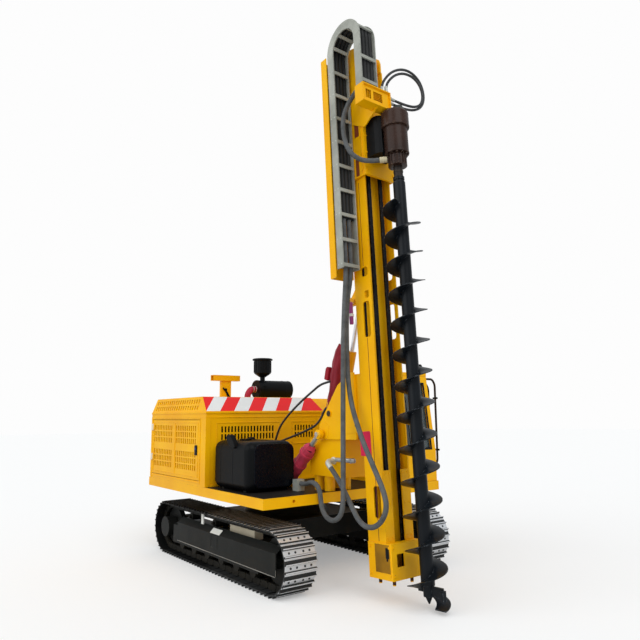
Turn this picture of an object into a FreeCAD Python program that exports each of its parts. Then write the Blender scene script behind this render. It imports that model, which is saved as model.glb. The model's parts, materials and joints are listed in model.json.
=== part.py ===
import FreeCAD, Part
import math
import os
from types import SimpleNamespace

import Sketcher

# A tracked rig that bores pile holes with a mast-mounted auger.
# X points forward to the mast, Y to the machine's left, Z up.
# The origin is on the ground, midway along and between the tracks.
# The mast has its own frame: u forward from its rear face, v to the left of its
# centre line, w up along it. It leans back by mast_lean when the machine is parked.

SIZES = [
    # tracks
    ("track_length", 3040, "track, over the grouser tips"),
    ("track_height", 620, "track, over the grouser tips"),
    ("track_span", 2200, "overall width of both tracks"),
    ("shoe_width", 360, "track shoe width"),
    ("shoe_count", 48, "shoes round one track"),
    ("grouser_height", 24, "grouser bar height"),
    ("shoe_thick", 12, "shoe plate thickness"),
    ("link_depth", 58, "chain link depth under the shoes"),
    ("running_gap", 1.8, "gap between wheels and the chain, over its flats"),
    ("frame_inset", 30, "track frame, inside of the shoe ends"),
    ("frame_low", 165, "underside of the track frame"),
    ("frame_high", 425, "top of the track frame at its crown"),
    ("roller_radius", 62, "bottom roller"),
    ("roller_count", 6, "bottom rollers a side"),
    ("hub_radius", 118, "final drive hub"),
    ("cover_rear", -850, "track side cover, rear end"),
    ("cover_front", 1320, "track side cover, front end"),
    ("cover_low", 195, "track side cover, lower edge"),
    ("cover_bend", 405, "track side cover, where it slopes in"),
    ("cover_skin", 12, "track side cover plate"),
    ("cover_run", 58, "track side cover, how far its slope runs in and up"),
    ("skid_rear", 250, "upper skid block, rear end"),
    ("skid_front", 760, "upper skid block, front end"),
    # carbody and slew
    ("body_length", 1300, "carbody along X"),
    ("body_low", 330, "carbody underside"),
    ("body_high", 640, "carbody top"),
    ("ring_radius", 430, "slew ring outer radius"),
    ("ring_bore", 300, "slew ring bore radius"),
    ("slew_gap", 0.5, "gap under the slewing platform"),
    ("slew_centre", -120, "slew axis along X"),
    # platform
    ("deck_rear", -1506, "platform rear edge"),
    ("deck_front", 1290, "platform front edge"),
    ("deck_half", 1200, "platform half width"),
    ("deck_low", 800, "platform underside"),
    ("deck_top", 900, "platform walking surface"),
    ("deck_plate", 8, "deck plate thickness"),
    ("deck_rim", 12, "yellow rim outside the deck plate"),
    ("rim_hole_radius", 16, "hole in the front rim"),
    ("rim_hole_side", -853, "hole in the front rim along Y"),
    ("rim_hole_height", 852, "hole in the front rim"),
    # hood
    ("hood_rear", -1470, "hood rear face"),
    ("hood_front", 90, "hood front face"),
    ("hood_left", 430, "hood left face, beside the cab"),
    ("hood_wing_front", -200, "front of the hood behind the cab"),
    ("hood_eave", 1720, "where the hood starts to slope"),
    ("hood_top", 1890, "hood top"),
    ("hood_front_slope", 200, "inset of the front slope"),
    ("hood_side_slope", 50, "inset of the side slopes"),
    ("hood_wall", 30, "hood panel and frame thickness"),
    ("door_rear", -1430, "hood door rear edge"),
    ("door_front", -60, "hood door front edge"),
    ("door_low", 955, "hood door lower edge"),
    ("door_high", 1630, "hood door upper edge"),
    ("door_gap", 6, "gap round a door"),
    ("knuckle", 8, "door hinge knuckle radius"),
    ("hinge_leaf", 60, "door hinge leaf"),
    ("hinge_height", 70, "door hinge height"),
    ("slot_width", 22, "front grille slot"),
    ("slot_pitch", 42, "front grille slot spacing"),
    ("slot_height", 66, "front grille slot"),
    ("grille_low", 1402, "front grille, lower row"),
    ("grille_high", 1486, "front grille, upper row"),
    ("louvre_width", 26, "door louvre"),
    ("louvre_pitch", 52, "door louvre spacing"),
    ("louvre_height", 58, "door louvre"),
    ("louvre_low", 1060, "lowest louvre of the door's lower block"),
    ("louvre_high", 1353, "lowest louvre of the door's upper block"),
    ("louvre_rise", 74, "door louvre rows"),
    ("brow_slot_pitch", 63, "slots along the hood's side slope"),
    ("brow_slot_height", 48, "slots along the hood's side slope"),
    # things on the hood
    ("rest_reach", -1390, "mast rest along X"),
    ("rest_length", 420, "mast rest bar"),
    ("rest_centre", -175, "mast rest along Y"),
    ("rest_low", 2157, "underside of the mast rest bar"),
    ("rest_top", 2236, "top of the mast rest bar"),
    ("rest_post", 155, "mast rest post width"),
    ("rest_depth", 90, "mast rest bar along X"),
    ("filter_reach", -950, "air cleaner along X"),
    ("filter_radius", 125, "air cleaner barrel"),
    ("filter_left", 600, "air cleaner left end"),
    ("filter_right", 60, "air cleaner right end"),
    ("filter_gap", 12, "air cleaner above the hood"),
    ("bowl_centre", 167, "pre-cleaner along Y"),
    ("bowl_radius", 118, "pre-cleaner bowl"),
    ("bowl_lip", 140, "pre-cleaner lip radius"),
    ("bowl_top", 2455, "pre-cleaner top"),
    ("intake_radius", 42, "intake hose"),
    # tank
    ("tank_rear", 120, "deck tank rear"),
    ("tank_front", 900, "deck tank front"),
    ("tank_right", -1100, "deck tank right face"),
    ("tank_left", -560, "deck tank left face"),
    ("tank_top", 1400, "deck tank top"),
    ("tank_round", 110, "deck tank corner radius"),
    ("tank_gap", 12, "tank foot height"),
    # cab
    ("cab_rear", 330, "cab rear face"),
    ("cab_front", 1270, "cab front face"),
    ("cab_right", 540, "cab right face"),
    ("cab_left", 1195, "cab left face"),
    ("cab_top", 2160, "cab roof"),
    ("cab_brow", 1150, "cab front at the roof"),
    ("cab_knee", 1230, "height where the cab front starts to lean"),
    ("cab_wall", 50, "cab wall"),
    ("glass_thick", 6, "window glass"),
    ("glass_gap", 0.3, "window glass edge gap"),
    # mast support and bracket
    ("pivot_reach", 1320, "mast pivot along X"),
    ("pivot_height", 1683, "mast pivot height"),
    ("mast_side", -230, "mast centre line along Y"),
    ("turret_rear", 950, "mast support rear"),
    ("turret_front", 1480, "mast support front"),
    ("turret_half", 175, "mast support half width"),
    ("turret_low", 1050, "mast support box underside"),
    ("turret_top", 1420, "mast support box top"),
    ("lug_half", 68, "pivot lug radius"),
    ("lug_thick", 30, "pivot lug thickness"),
    ("pin_radius", 32, "pivot pin"),
    ("pin_fit", 0.4, "clearance of a pin in its bore"),
    ("side_gap", 5, "side gap between parts that move past each other"),
    ("plate_thick", 20, "mast bracket plate"),
    ("rib_half", 15, "half thickness of the bracket's centre rib"),
    # tilt cylinders
    ("tilt_base_reach", 637, "tilt cylinder foot along X"),
    ("tilt_base_height", 960, "tilt cylinder foot height"),
    ("tilt_pin_back", 114, "tilt rod pin behind the pivot"),
    ("tilt_pin_height", 1474, "tilt rod pin height"),
    ("tilt_offset", 250, "tilt cylinders from the mast centre line"),
    ("tilt_barrel", 62, "tilt barrel radius with its sleeve"),
    ("tilt_rod", 28, "tilt rod radius"),
    ("tilt_barrel_length", 560, "tilt barrel from its foot pin"),
    ("tilt_eye", 46, "tilt cylinder eye radius"),
    # slide cylinders
    ("shift_base_back", 170, "slide cylinder foot behind the pivot"),
    ("shift_base_height", 1600, "slide cylinder foot height"),
    ("shift_offset", 76, "slide cylinders from the mast centre line"),
    ("shift_barrel", 50, "slide barrel radius"),
    ("shift_rod", 22, "slide rod radius"),
    ("shift_barrel_length", 760, "slide barrel from its foot pin"),
    ("shift_eye", 38, "slide cylinder eye radius"),
    ("rod_start", 300, "cylinder rods, from the foot pin"),
    ("shift_lug_back", 215, "slide rod pin behind the mast"),
    ("shift_lug_up", 2850, "slide rod pin up the mast"),
    # mast
    ("mast_lean", 3, "mast lean back in degrees"),
    ("mast_ahead", 559.5, "mast rear face on the ground line, ahead of the pivot"),
    ("mast_depth", 235, "mast, rear face to front face"),
    ("mast_half", 176, "mast half width"),
    ("mast_box", 145, "depth of the mast's rear box"),
    ("mast_wall", 12, "mast box wall"),
    ("channel_wall", 16, "wall of the mast's front channel"),
    ("cover_width", 110, "front cover plate of the lower mast"),
    ("cover_thick", 12, "front cover plate of the lower mast"),
    ("cover_high", 1150, "top of the front cover plates"),
    ("stem_half", 75, "neck of the mast's rear rail, half width"),
    ("head_half", 100, "head of the mast's rear rail, half width"),
    ("rail_thick", 12, "neck and head of the rear rail"),
    ("rail_low", 900, "lower end of the rear rail"),
    ("rail_high", 2300, "upper end of the rear rail"),
    ("guide_low", 1470, "mast guide lower end"),
    ("guide_high", 2060, "mast guide upper end"),
    ("guide_back", 70, "back of the mast guide behind the mast"),
    ("guide_half", 170, "mast guide half width"),
    ("mast_low", 230, "mast lower end"),
    ("mast_high", 5330, "mast upper end"),
    ("crown_high", 5545, "mast crown top"),
    ("spike_length", 75, "ground spikes, below the mast's lower end"),
    ("spike_radius", 15, "ground spikes"),
    ("foot_high", 520, "mast foot casing top"),
    ("foot_front", 75, "mast foot casing in front of the mast"),
    ("foot_skin", 10, "mast foot casing thickness"),
    ("chain_offset", 79, "feed chains from the centre line"),
    ("chain_width", 40, "feed chain"),
    ("chain_thick", 22, "feed chain"),
    ("chain_depth", 36, "feed chains behind the mast's front face"),
    # hose carrier
    ("carrier_outer", -415, "hose carrier, outer side from the mast centre line"),
    ("carrier_inner", -205, "hose carrier, inner side from the mast centre line"),
    ("carrier_rear", 30, "hose carrier, rear leg from the mast rear face"),
    ("carrier_front", 545, "hose carrier, front leg front"),
    ("link_height", 92, "hose carrier link height"),
    ("link_skin", 12, "hose carrier side plate"),
    ("rung_pitch", 260, "hose carrier rungs"),
    ("rung_depth", 14, "hose carrier rung"),
    ("rung_height", 34, "hose carrier rung"),
    ("leg_low", 3080, "hose carrier lower end"),
    ("bend_height", 5400, "centre of the hose carrier bend"),
    ("tray_back", -65, "carrier tray behind the mast rear face"),
    ("tray_skin", 8, "carrier tray plate"),
    ("tray_low", 3000, "carrier tray lower end"),
    ("tray_high", 5400, "carrier tray upper end"),
    ("hose_radius", 22, "hoses in the carrier"),
    ("hose_pitch", 46, "hoses in the carrier, side by side"),
    ("bundle_low", 3600, "lower end of the carrier's own hoses"),
    # free hoses
    ("feed_radius", 24, "feed hose"),
    ("feed_side", -277, "feed hose from the mast centre line"),
    ("return_radius", 24, "return hose"),
    ("return_side", -343, "return hose from the mast centre line"),
    ("line_radius", 12, "lines of the slide cylinders"),
    ("motor_hose", 13, "hoses of the drive motor"),
    ("head_hose", 24, "hose of the gearbox"),
    # carriage and head
    ("slide_gap", 5, "carriage clearance on the mast"),
    ("cheek_thick", 16, "carriage cheek"),
    ("carriage_low", 4040, "carriage lower end"),
    ("carriage_high", 4910, "carriage upper end"),
    ("cheek_back", 38, "carriage cheeks behind the mast's rear face"),
    ("face_gap", 23, "carriage front plate in front of the mast"),
    ("face_thick", 30, "carriage front plate"),
    ("head_reach", 540, "auger axis from the mast rear face"),
    ("head_low", 4185, "gearbox underside"),
    ("head_belt", 4465, "underside of the gearbox cap"),
    ("head_high", 4635, "top of the gearbox cap"),
    ("head_radius", 120, "gearbox body"),
    ("cap_radius", 140, "gearbox cap"),
    ("collar_radius", 85, "splined collar"),
    ("collar_low", 4060, "splined collar underside"),
    ("shaft_radius", 45, "drive shaft"),
    ("shaft_low", 3950, "drive shaft lower end"),
    ("seat_gap", 0.3, "gap between parts that turn on each other"),
    ("ferrule_length", 90.5, "ferrule of the head hose"),
    ("ferrule_radius", 27, "ferrule of the head hose"),
    ("motor_radius", 80, "drive motor"),
    ("motor_offset", 60, "drive motor from the auger axis along Y"),
    ("port_radius", 24, "hose ports on the head"),
    ("motor_height", 95, "drive motor"),
    ("box_low", 4655, "carrier bracket underside"),
    ("box_high", 4850, "carrier bracket top"),
    # auger
    ("flight_radius", 180, "auger flight"),
    ("stem_radius", 60, "auger stem"),
    ("flight_pitch", 285, "auger pitch"),
    ("flight_thick", 12, "auger flight plate"),
    ("flight_low", 190, "lower end of the flight"),
    ("flight_high", 3860, "upper end of the flight"),
    ("socket_radius", 48, "auger socket"),
    ("tip_low", 40, "pilot point above the ground line"),
]

doc = FreeCAD.newDocument("pile_drilling_rig")
sheet = doc.addObject("Spreadsheet::Sheet", "Sizes")
for row, (alias, number, note) in enumerate(SIZES, 1):
    sheet.set(f"A{row}", note)
    sheet.set(f"B{row}", str(number))
    sheet.setAlias(f"B{row}", alias)
doc.recompute()


def text_of(number):
    """The sheet expression of a size, or a plain number as text."""
    return number.text if isinstance(number, Dim) else f"{float(number):.10g}"


class Dim(float):
    """A size that knows its value and the sheet expression it comes from."""

    def __new__(cls, number, text):
        made = float.__new__(cls, number)
        made.text = text
        return made

    def __add__(self, other):
        return Dim(float(self) + float(other), f"({self.text} + {text_of(other)})")

    def __radd__(self, other):
        return Dim(float(other) + float(self), f"({text_of(other)} + {self.text})")

    def __sub__(self, other):
        return Dim(float(self) - float(other), f"({self.text} - {text_of(other)})")

    def __rsub__(self, other):
        return Dim(float(other) - float(self), f"({text_of(other)} - {self.text})")

    def __mul__(self, other):
        return Dim(float(self) * float(other), f"({self.text} * {text_of(other)})")

    def __rmul__(self, other):
        return Dim(float(other) * float(self), f"({text_of(other)} * {self.text})")

    def __truediv__(self, other):
        return Dim(float(self) / float(other), f"({self.text} / {text_of(other)})")

    def __neg__(self):
        return Dim(-float(self), f"(0 - {self.text})")


s = SimpleNamespace(**{alias: Dim(float(sheet.get(alias)), "Sizes." + alias)
                       for alias, number, note in SIZES})
s.tilt_pin_reach = s.pivot_reach - s.tilt_pin_back
s.shift_base_reach = s.pivot_reach - s.shift_base_back
s.mast_reach = s.pivot_reach + s.mast_ahead
V = FreeCAD.Vector
Turn = FreeCAD.Rotation
SIDES = {"right": -1, "left": 1}
nodes = {}


def bind(thing, prop, number):
    """Ties one property of an object to the sheet."""
    thing.setExpression(prop, text_of(number))


def place(thing, x=0, y=0, z=0, turn=None):
    thing.Placement = FreeCAD.Placement(V(x, y, z), turn or Turn())
    for axis, number in zip("xyz", (x, y, z)):
        if isinstance(number, Dim):
            bind(thing, "Placement.Base." + axis, number)
    return thing


def cuboid(name, x0, x1, y0, y1, z0, z1):
    box = doc.addObject("Part::Box", name)
    bind(box, "Length", x1 - x0)
    bind(box, "Width", y1 - y0)
    bind(box, "Height", z1 - z0)
    return place(box, x0, y0, z0)


AXIS_TURN = {"x": Turn(V(0, 1, 0), 90), "y": Turn(V(1, 0, 0), -90), "z": Turn()}


def spot(axis, along, across, up):
    """A point from its place along an axis and its two other coordinates, in XYZ order."""
    return {"x": (along, across, up), "y": (across, along, up), "z": (across, up, along)}[axis]


def rod(name, axis, radius, start, end, a, b):
    bar = doc.addObject("Part::Cylinder", name)
    bind(bar, "Radius", radius)
    bind(bar, "Height", end - start)
    return place(bar, *spot(axis, start, a, b), AXIS_TURN[axis])


def cone(name, axis, radius_start, radius_end, start, end, a, b):
    bar = doc.addObject("Part::Cone", name)
    bind(bar, "Radius1", radius_start)
    bind(bar, "Radius2", radius_end)
    bind(bar, "Height", end - start)
    return place(bar, *spot(axis, start, a, b), AXIS_TURN[axis])


PLANES = {"xy": "XY_Plane", "xz": "XZ_Plane", "yz": "YZ_Plane"}


def pin(sketch, index, point, across, up):
    """Fixes one point of a sketch at sheet sizes from the sketch's origin."""
    for kind, number in (("DistanceX", across), ("DistanceY", up)):
        at = sketch.addConstraint(Sketcher.Constraint(kind, -1, 1, index, point, float(number)))
        if isinstance(number, Dim):
            bind(sketch, f"Constraints[{at}]", number)


def draw_outline(sketch, points):
    first = sketch.GeometryCount
    flat = [V(float(a), float(b), 0) for a, b in points]
    count = len(flat)
    for i in range(count):
        sketch.addGeometry(Part.LineSegment(flat[i], flat[(i + 1) % count]), False)
    for i in range(count):
        follower = first + (i + 1) % count
        sketch.addConstraint(Sketcher.Constraint("Coincident", first + i, 2, follower, 1))
        pin(sketch, first + i, 1, *points[i])


def draw_circle(sketch, across, up, radius):
    index = sketch.GeometryCount
    centre = V(float(across), float(up), 0)
    sketch.addGeometry(Part.Circle(centre, V(0, 0, 1), float(radius)), False)
    at = sketch.addConstraint(Sketcher.Constraint("Radius", index, float(radius)))
    bind(sketch, f"Constraints[{at}]", radius)
    pin(sketch, index, 3, across, up)


def plate(name, plane, points, start, end, holes=(), windows=()):
    """A body padded between two distances along its plane's own axis."""
    body = doc.addObject("PartDesign::Body", name)
    sketch = body.newObject("Sketcher::SketchObject", name + "_outline")
    origin = [f for f in body.Origin.OriginFeatures if f.Role == PLANES[plane]][0]
    sketch.AttachmentSupport = [(origin, "")]
    sketch.MapMode = "FlatFace"
    bind(sketch, "AttachmentOffset.Base.z", -end if plane == "xz" else start)
    draw_outline(sketch, points)
    for window in windows:
        draw_outline(sketch, window)
    for hole in holes:
        draw_circle(sketch, *hole)
    pad = body.newObject("PartDesign::Pad", name + "_pad")
    pad.Profile = sketch
    bind(pad, "Length", end - start)
    sketch.Visibility = False
    return body


def turned(name, profile, axis, a, b):
    """A body turned about a line along an axis; the profile is (radius, place) pairs."""
    body = doc.addObject("PartDesign::Body", name)
    sketch = body.newObject("Sketcher::SketchObject", name + "_profile")
    origin = [f for f in body.Origin.OriginFeatures if f.Role == "XZ_Plane"][0]
    sketch.AttachmentSupport = [(origin, "")]
    sketch.MapMode = "FlatFace"
    draw_outline(sketch, profile)
    spin = body.newObject("PartDesign::Revolution", name + "_spin")
    spin.Profile = sketch
    spin.ReferenceAxis = (sketch, ["V_Axis"])
    spin.Angle = 360
    return place(body, *spot(axis, 0, a, b), AXIS_TURN[axis])


def fuse(name, parts):
    joined = doc.addObject("Part::MultiFuse", name)
    joined.Shapes = parts
    return joined


def cut(name, base, tools):
    result = doc.addObject("Part::Cut", name)
    result.Base = base
    result.Tool = tools[0] if len(tools) == 1 else fuse(name + "_tools", tools)
    return result


def gather(name, parts):
    group = doc.addObject("Part::Compound", name)
    group.Links = parts
    return group


def made(name, shape):
    """A free-form solid built with Part's own functions."""
    thing = doc.addObject("Part::Feature", name)
    thing.Shape = shape
    return thing


def slots(name, axis, start, end, firsts, lows, width, height, pitch, counts):
    """Rows of upright slots through a wall; each row has its first slot and its height."""
    cutters = []
    for column, (first, count) in enumerate(zip(firsts, counts)):
        for row, low in enumerate(lows):
            for i in range(count):
                label = f"{name}_{column}_{row}_{i}"
                near = first + pitch * i
                if axis == "y":
                    cutters.append(cuboid(label, near, near + width, start, end, low, low + height))
                else:
                    cutters.append(cuboid(label, start, end, near, near + width, low, low + height))
    return cutters


def to_mast(thing):
    """Moves a part drawn in the mast's own frame to the mast's place and lean."""
    thing.Placement = FreeCAD.Placement(V(s.mast_reach, s.mast_side, 0),
                                        Turn(V(0, -1, 0), s.mast_lean))
    bind(thing, "Placement.Base.x", s.mast_reach)
    bind(thing, "Placement.Base.y", s.mast_side)
    bind(thing, "Placement.Rotation.Angle", s.mast_lean)
    return thing


def keep(name, thing, on_mast=False):
    """Registers a finished sub-part under its plain name."""
    thing.Label = name
    if on_mast:
        to_mast(thing)
    nodes[name] = thing
    return thing


# ---- tracks: one fixed loop a side, its shoes and grousers in the outline ----
end_radius = s.track_height / 2
wheel_reach = (s.track_length - s.track_height) / 2
plate_radius = end_radius - s.grouser_height
inner_radius = plate_radius - s.shoe_thick - s.link_depth
shoe_inner = s.track_span / 2 - s.shoe_width
track_middle = s.track_span / 2 - s.shoe_width / 2


def loop_point(along, radius):
    """A point on the loop: `along` runs 0 to 1 round it, `radius` is its end radius."""
    straight = 2 * float(wheel_reach)
    bend = math.pi * float(end_radius)
    way = (along % 1.0) * (2 * straight + 2 * bend)
    if way < straight:
        return V(-straight / 2 + way, 0, end_radius - radius)
    way -= straight
    if way < bend:
        turn = math.pi * way / bend
        return V(straight / 2 + radius * math.sin(turn), 0, end_radius - radius * math.cos(turn))
    way -= bend
    if way < straight:
        return V(straight / 2 - way, 0, end_radius + radius)
    turn = math.pi * (way - straight) / bend
    return V(-straight / 2 - radius * math.sin(turn), 0, end_radius + radius * math.cos(turn))


def track_shape(side):
    shoes = int(s.shoe_count)
    steps = [(0.02, plate_radius - s.shoe_thick), (0.05, plate_radius)]
    for middle in (0.26, 0.74):
        steps += [(middle - 0.07, plate_radius), (middle - 0.04, end_radius),
                  (middle + 0.04, end_radius), (middle + 0.07, plate_radius)]
    steps += [(0.95, plate_radius), (0.98, plate_radius - s.shoe_thick)]
    outline = [loop_point((shoe + share) / shoes, float(radius))
               for shoe in range(shoes) for share, radius in steps]
    hole = [loop_point(i / (2.0 * shoes), float(inner_radius)) for i in range(2 * shoes)]
    outer = Part.Face(Part.makePolygon(outline + outline[:1]))
    inner = Part.Face(Part.makePolygon(hole + hole[:1]))
    loop = outer.cut(inner).extrude(V(0, s.shoe_width, 0)).Solids[0]
    start = shoe_inner if side > 0 else -(s.track_span / 2)
    loop.translate(V(0, start, 0))
    return loop


for label, side in SIDES.items():
    keep(f"track_{label}", made(f"track_{label}", track_shape(side)))

# ---- inside each track: frame, sprocket, idler, rollers ----
frame_parts = []
sprocket_parts = []
idler_parts = []
roller_parts = []
carrier_parts = []
skid_parts = []
skid_half = 50
frame_outer = s.track_span / 2 - s.frame_inset
frame_inner = shoe_inner + s.frame_inset
turn_radius = inner_radius - s.running_gap
frame_end = wheel_reach - turn_radius - s.running_gap * 3
roller_height = end_radius - inner_radius + s.seat_gap + s.roller_radius
roller_gap = 2 * frame_end / s.roller_count
roller_half = 110
carrier_radius = s.roller_radius * 0.7
cover_slope = 60
arm_thick = 24
for label, side in SIDES.items():
    frame_parts.append(plate(f"track_frame_{label}", "yz", [
        (frame_inner * side, s.frame_low), (frame_outer * side, s.frame_low),
        (frame_outer * side, s.frame_high - cover_slope), (track_middle * side, s.frame_high),
        (frame_inner * side, s.frame_high)], -frame_end, frame_end))
    centre = track_middle * side
    arm_y = centre - side * 82 - arm_thick / 2
    for end, bore in ((-1, s.hub_radius), (1, s.hub_radius * 0.6)):
        x0, x1 = sorted((end * (frame_end - 1), end * (wheel_reach + 40)))
        frame_parts.append(cut(f"axle_arm_{label}_{end + 1}",
                               cuboid(f"axle_arm_bar_{label}_{end + 1}", x0, x1, arm_y,
                                      arm_y + arm_thick, end_radius - 60, end_radius + 60),
                               [rod(f"axle_arm_bore_{label}_{end + 1}", "y", bore + s.seat_gap,
                                    arm_y - 1, arm_y + arm_thick + 1, end * wheel_reach,
                                    end_radius)]))
    hub_y0, hub_y1 = centre - s.shoe_width / 2 + 12, centre + s.shoe_width / 2 - 12
    sprocket_parts.append(fuse(f"sprocket_{label}", [
        rod(f"sprocket_disc_{label}", "y", turn_radius, centre - 30, centre + 30,
            -wheel_reach, end_radius),
        rod(f"final_drive_{label}", "y", s.hub_radius, hub_y0, hub_y1, -wheel_reach, end_radius)]))
    idler_parts.append(fuse(f"idler_{label}", [
        rod(f"idler_rim_{label}", "y", turn_radius, centre - 55, centre + 55,
            wheel_reach, end_radius),
        rod(f"idler_hub_{label}", "y", s.hub_radius * 0.6, centre - 120, centre + 120,
            wheel_reach, end_radius)]))
    fold = [(0, s.cover_low), (s.cover_skin, s.cover_low), (s.cover_skin, s.cover_bend),
            (-s.cover_run, s.cover_bend + s.cover_run), (-s.cover_run, s.cover_bend + s.cover_run
                                                         - s.cover_skin), (0, s.cover_bend - 5)]
    frame_parts.append(plate(f"track_cover_{label}", "yz",
                             [(side * (frame_outer + out), up) for out, up in fold],
                             s.cover_rear, s.cover_front))
    skid_top = end_radius + inner_radius - s.seat_gap
    skid_parts.append(cuboid(f"skid_{label}", s.skid_rear, s.skid_front, centre - skid_half,
                             centre + skid_half, s.frame_high, skid_top))
    for i in range(int(s.roller_count)):
        reach = -frame_end + roller_gap * (i + 0.5)
        roller_parts.append(rod(f"roller_{label}_{i}", "y", s.roller_radius,
                                centre - roller_half, centre + roller_half, reach, roller_height))
    for i, reach in enumerate((-0.7, -0.1)):
        height = end_radius + inner_radius - s.seat_gap - carrier_radius
        carrier_parts.append(fuse(f"carrier_{label}_{i}", [
            rod(f"carrier_wheel_{label}_{i}", "y", carrier_radius, centre - 60, centre + 60,
                frame_end * reach, height),
            rod(f"carrier_axle_{label}_{i}", "y", 16, centre - 90, centre + 90,
                frame_end * reach, height),
            cuboid(f"carrier_stand_{label}_{i}", frame_end * reach - 24, frame_end * reach + 24,
                   centre - side * 85 - 15, centre - side * 85 + 15,
                   s.frame_high, height + 24)]))
rollers = gather("bottom_rollers_all", roller_parts)
frame_recess = [cuboid(f"roller_bay_{label}", -frame_end - 1, frame_end + 1,
                       (track_middle * side) - roller_half - s.seat_gap,
                       (track_middle * side) + roller_half + s.seat_gap,
                       0, roller_height + s.roller_radius + s.running_gap)
                for label, side in SIDES.items()]
keep("track_frames", cut("track_frames_cut", fuse("track_frame_pair", frame_parts), frame_recess))
keep("sprockets", gather("sprocket_pair", sprocket_parts))
keep("idlers", gather("idler_pair", idler_parts))
keep("bottom_rollers", rollers)
keep("carrier_rollers", gather("carrier_roller_set", carrier_parts))
keep("track_skids", gather("track_skid_pair", skid_parts))

# ---- carbody: a box between the tracks on four arms, and the slew ring ----
body_half = shoe_inner - 90
arm_width = 240
arms = []
for end, reach in (("front", s.body_length / 2 - arm_width), ("rear", -s.body_length / 2)):
    arms.append(cuboid(f"carbody_arm_{end}", reach, reach + arm_width, -frame_inner, frame_inner,
                       s.body_low + 20, s.frame_high - 70))
keep("carbody", fuse("carbody_all", [
    cuboid("carbody_box", -s.body_length / 2, s.body_length / 2, -body_half, body_half,
           s.body_low, s.body_high - 90),
    cone("carbody_tower", "z", s.ring_radius + 90, s.ring_radius, s.body_high - 100, s.body_high,
         s.slew_centre, 0)] + arms))
ring_top = s.deck_low - s.slew_gap
keep("slew_ring", cut("slew_ring_all",
                      rod("slew_ring_outer", "z", s.ring_radius - 20, s.body_high, ring_top,
                          s.slew_centre, 0),
                      [rod("slew_ring_bore", "z", s.ring_bore, s.body_high - 1, ring_top + 1,
                           s.slew_centre, 0)]))

# ---- platform ----
deck_under = s.deck_top - s.deck_plate
rim_slot = cuboid("deck_seat", s.deck_rear + s.deck_rim, s.deck_front - s.deck_rim,
                  -s.deck_half + s.deck_rim, s.deck_half - s.deck_rim, deck_under, s.deck_top + 1)
rim_hole = rod("deck_hole", "x", s.rim_hole_radius, s.deck_front - 60, s.deck_front + 1,
               s.rim_hole_side, s.rim_hole_height)
keep("main_frame", cut("main_frame_all",
                       cuboid("main_frame_slab", s.deck_rear, s.deck_front, -s.deck_half,
                              s.deck_half, s.deck_low, s.deck_top), [rim_slot, rim_hole]))
keep("deck_plate", cuboid("deck_plate_all", s.deck_rear + s.deck_rim, s.deck_front - s.deck_rim,
                          -s.deck_half + s.deck_rim, s.deck_half - s.deck_rim,
                          deck_under, s.deck_top))

# ---- hood: a hollow sheet-metal canopy with a sloping brow ----
hood_right = -s.deck_half


def hood_solid(name, skin, low, high):
    """The hood's form: the block beside the cab and the wing behind it, each with its brow."""
    blocks = []
    for part, front, right, left in (("block", s.hood_front, hood_right, s.hood_left),
                                     ("wing", s.hood_wing_front, hood_right + 600, s.deck_half)):
        blocks.append(cuboid(f"{name}_{part}", s.hood_rear + skin, front - skin, right + skin,
                             left - skin, low, s.hood_eave))
        blocks.append(made(f"{name}_{part}_brow", brow_shape(skin, high, front, right, left)))
    return fuse(name, blocks)


def brow_shape(skin, high, front, right, left):
    """The hood above its eaves, narrowing to the flat top."""
    def ring(inset_rear, inset_front, inset_side, height):
        xa, xb = s.hood_rear + inset_rear, front - inset_front
        ya, yb = right + inset_side, left - inset_side
        return Part.makePolygon([V(xa, ya, height), V(xb, ya, height), V(xb, yb, height),
                                 V(xa, yb, height), V(xa, ya, height)])
    low_ring = ring(skin, skin, skin, s.hood_eave)
    high_ring = ring(s.hood_side_slope + skin, s.hood_front_slope + skin,
                     s.hood_side_slope + skin, high)
    return Part.makeLoft([low_ring, high_ring], True, True)


hood_outer = hood_solid("hood_outer", 0, s.deck_top, s.hood_top)
hood_inner = hood_solid("hood_inner", s.hood_wall, s.deck_top - 1, s.hood_top - s.hood_wall)
hood_door_hole = cuboid("hood_door_hole", s.door_rear, s.door_front, hood_right - 1,
                        hood_right + s.hood_wall + 1, s.door_low, s.door_high)
front_slots = slots("front_slot", "x", s.hood_front - s.hood_wall - 1, s.hood_front + 1,
                    (hood_right + 190, hood_right + 1190), (s.grille_low, s.grille_high),
                    s.slot_width, s.slot_height, s.slot_pitch, (17, 7))
brow_slots = slots("brow_slot", "y", hood_right - 1, hood_right + s.hood_side_slope + 2 * s.hood_wall,
                   (s.door_rear + 60,), (s.hood_eave + 20, s.hood_eave + 90),
                   s.louvre_width, s.brow_slot_height, s.brow_slot_pitch, (20,))
keep("hood_shell", cut("hood_shell_all", hood_outer,
                       [hood_inner, hood_door_hole] + front_slots + brow_slots))
engine_rear = s.hood_rear + 290
engine_right = hood_right + 380
engine_length, engine_width, engine_height = 800, 700, 620
keep("engine_block", cuboid("engine_block_all", engine_rear, engine_rear + engine_length,
                            engine_right, engine_right + engine_width,
                            s.deck_top, s.deck_top + engine_height))

# ---- hood door with its louvres, hinged at its rear edge ----
def hinges(name, reach, wall, out, lows):
    """Hinge knuckles beside a wall, each with the leaf that carries the door."""
    parts = []
    middle = wall + out * (s.knuckle + s.seat_gap)
    for i, low in enumerate(lows):
        parts.append(rod(f"{name}_knuckle_{i}", "z", s.knuckle, low, low + s.hinge_height,
                         reach, middle))
        y0, y1 = sorted((wall - out, middle))
        parts.append(cuboid(f"{name}_leaf_{i}", reach + s.door_gap, reach + s.hinge_leaf, y0, y1,
                            low, low + s.hinge_height))
        parts.append(cuboid(f"{name}_bridge_{i}", reach, reach + s.door_gap + 1,
                            *sorted((wall + out * s.seat_gap, middle)),
                            low, low + s.hinge_height))
    return parts


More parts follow.
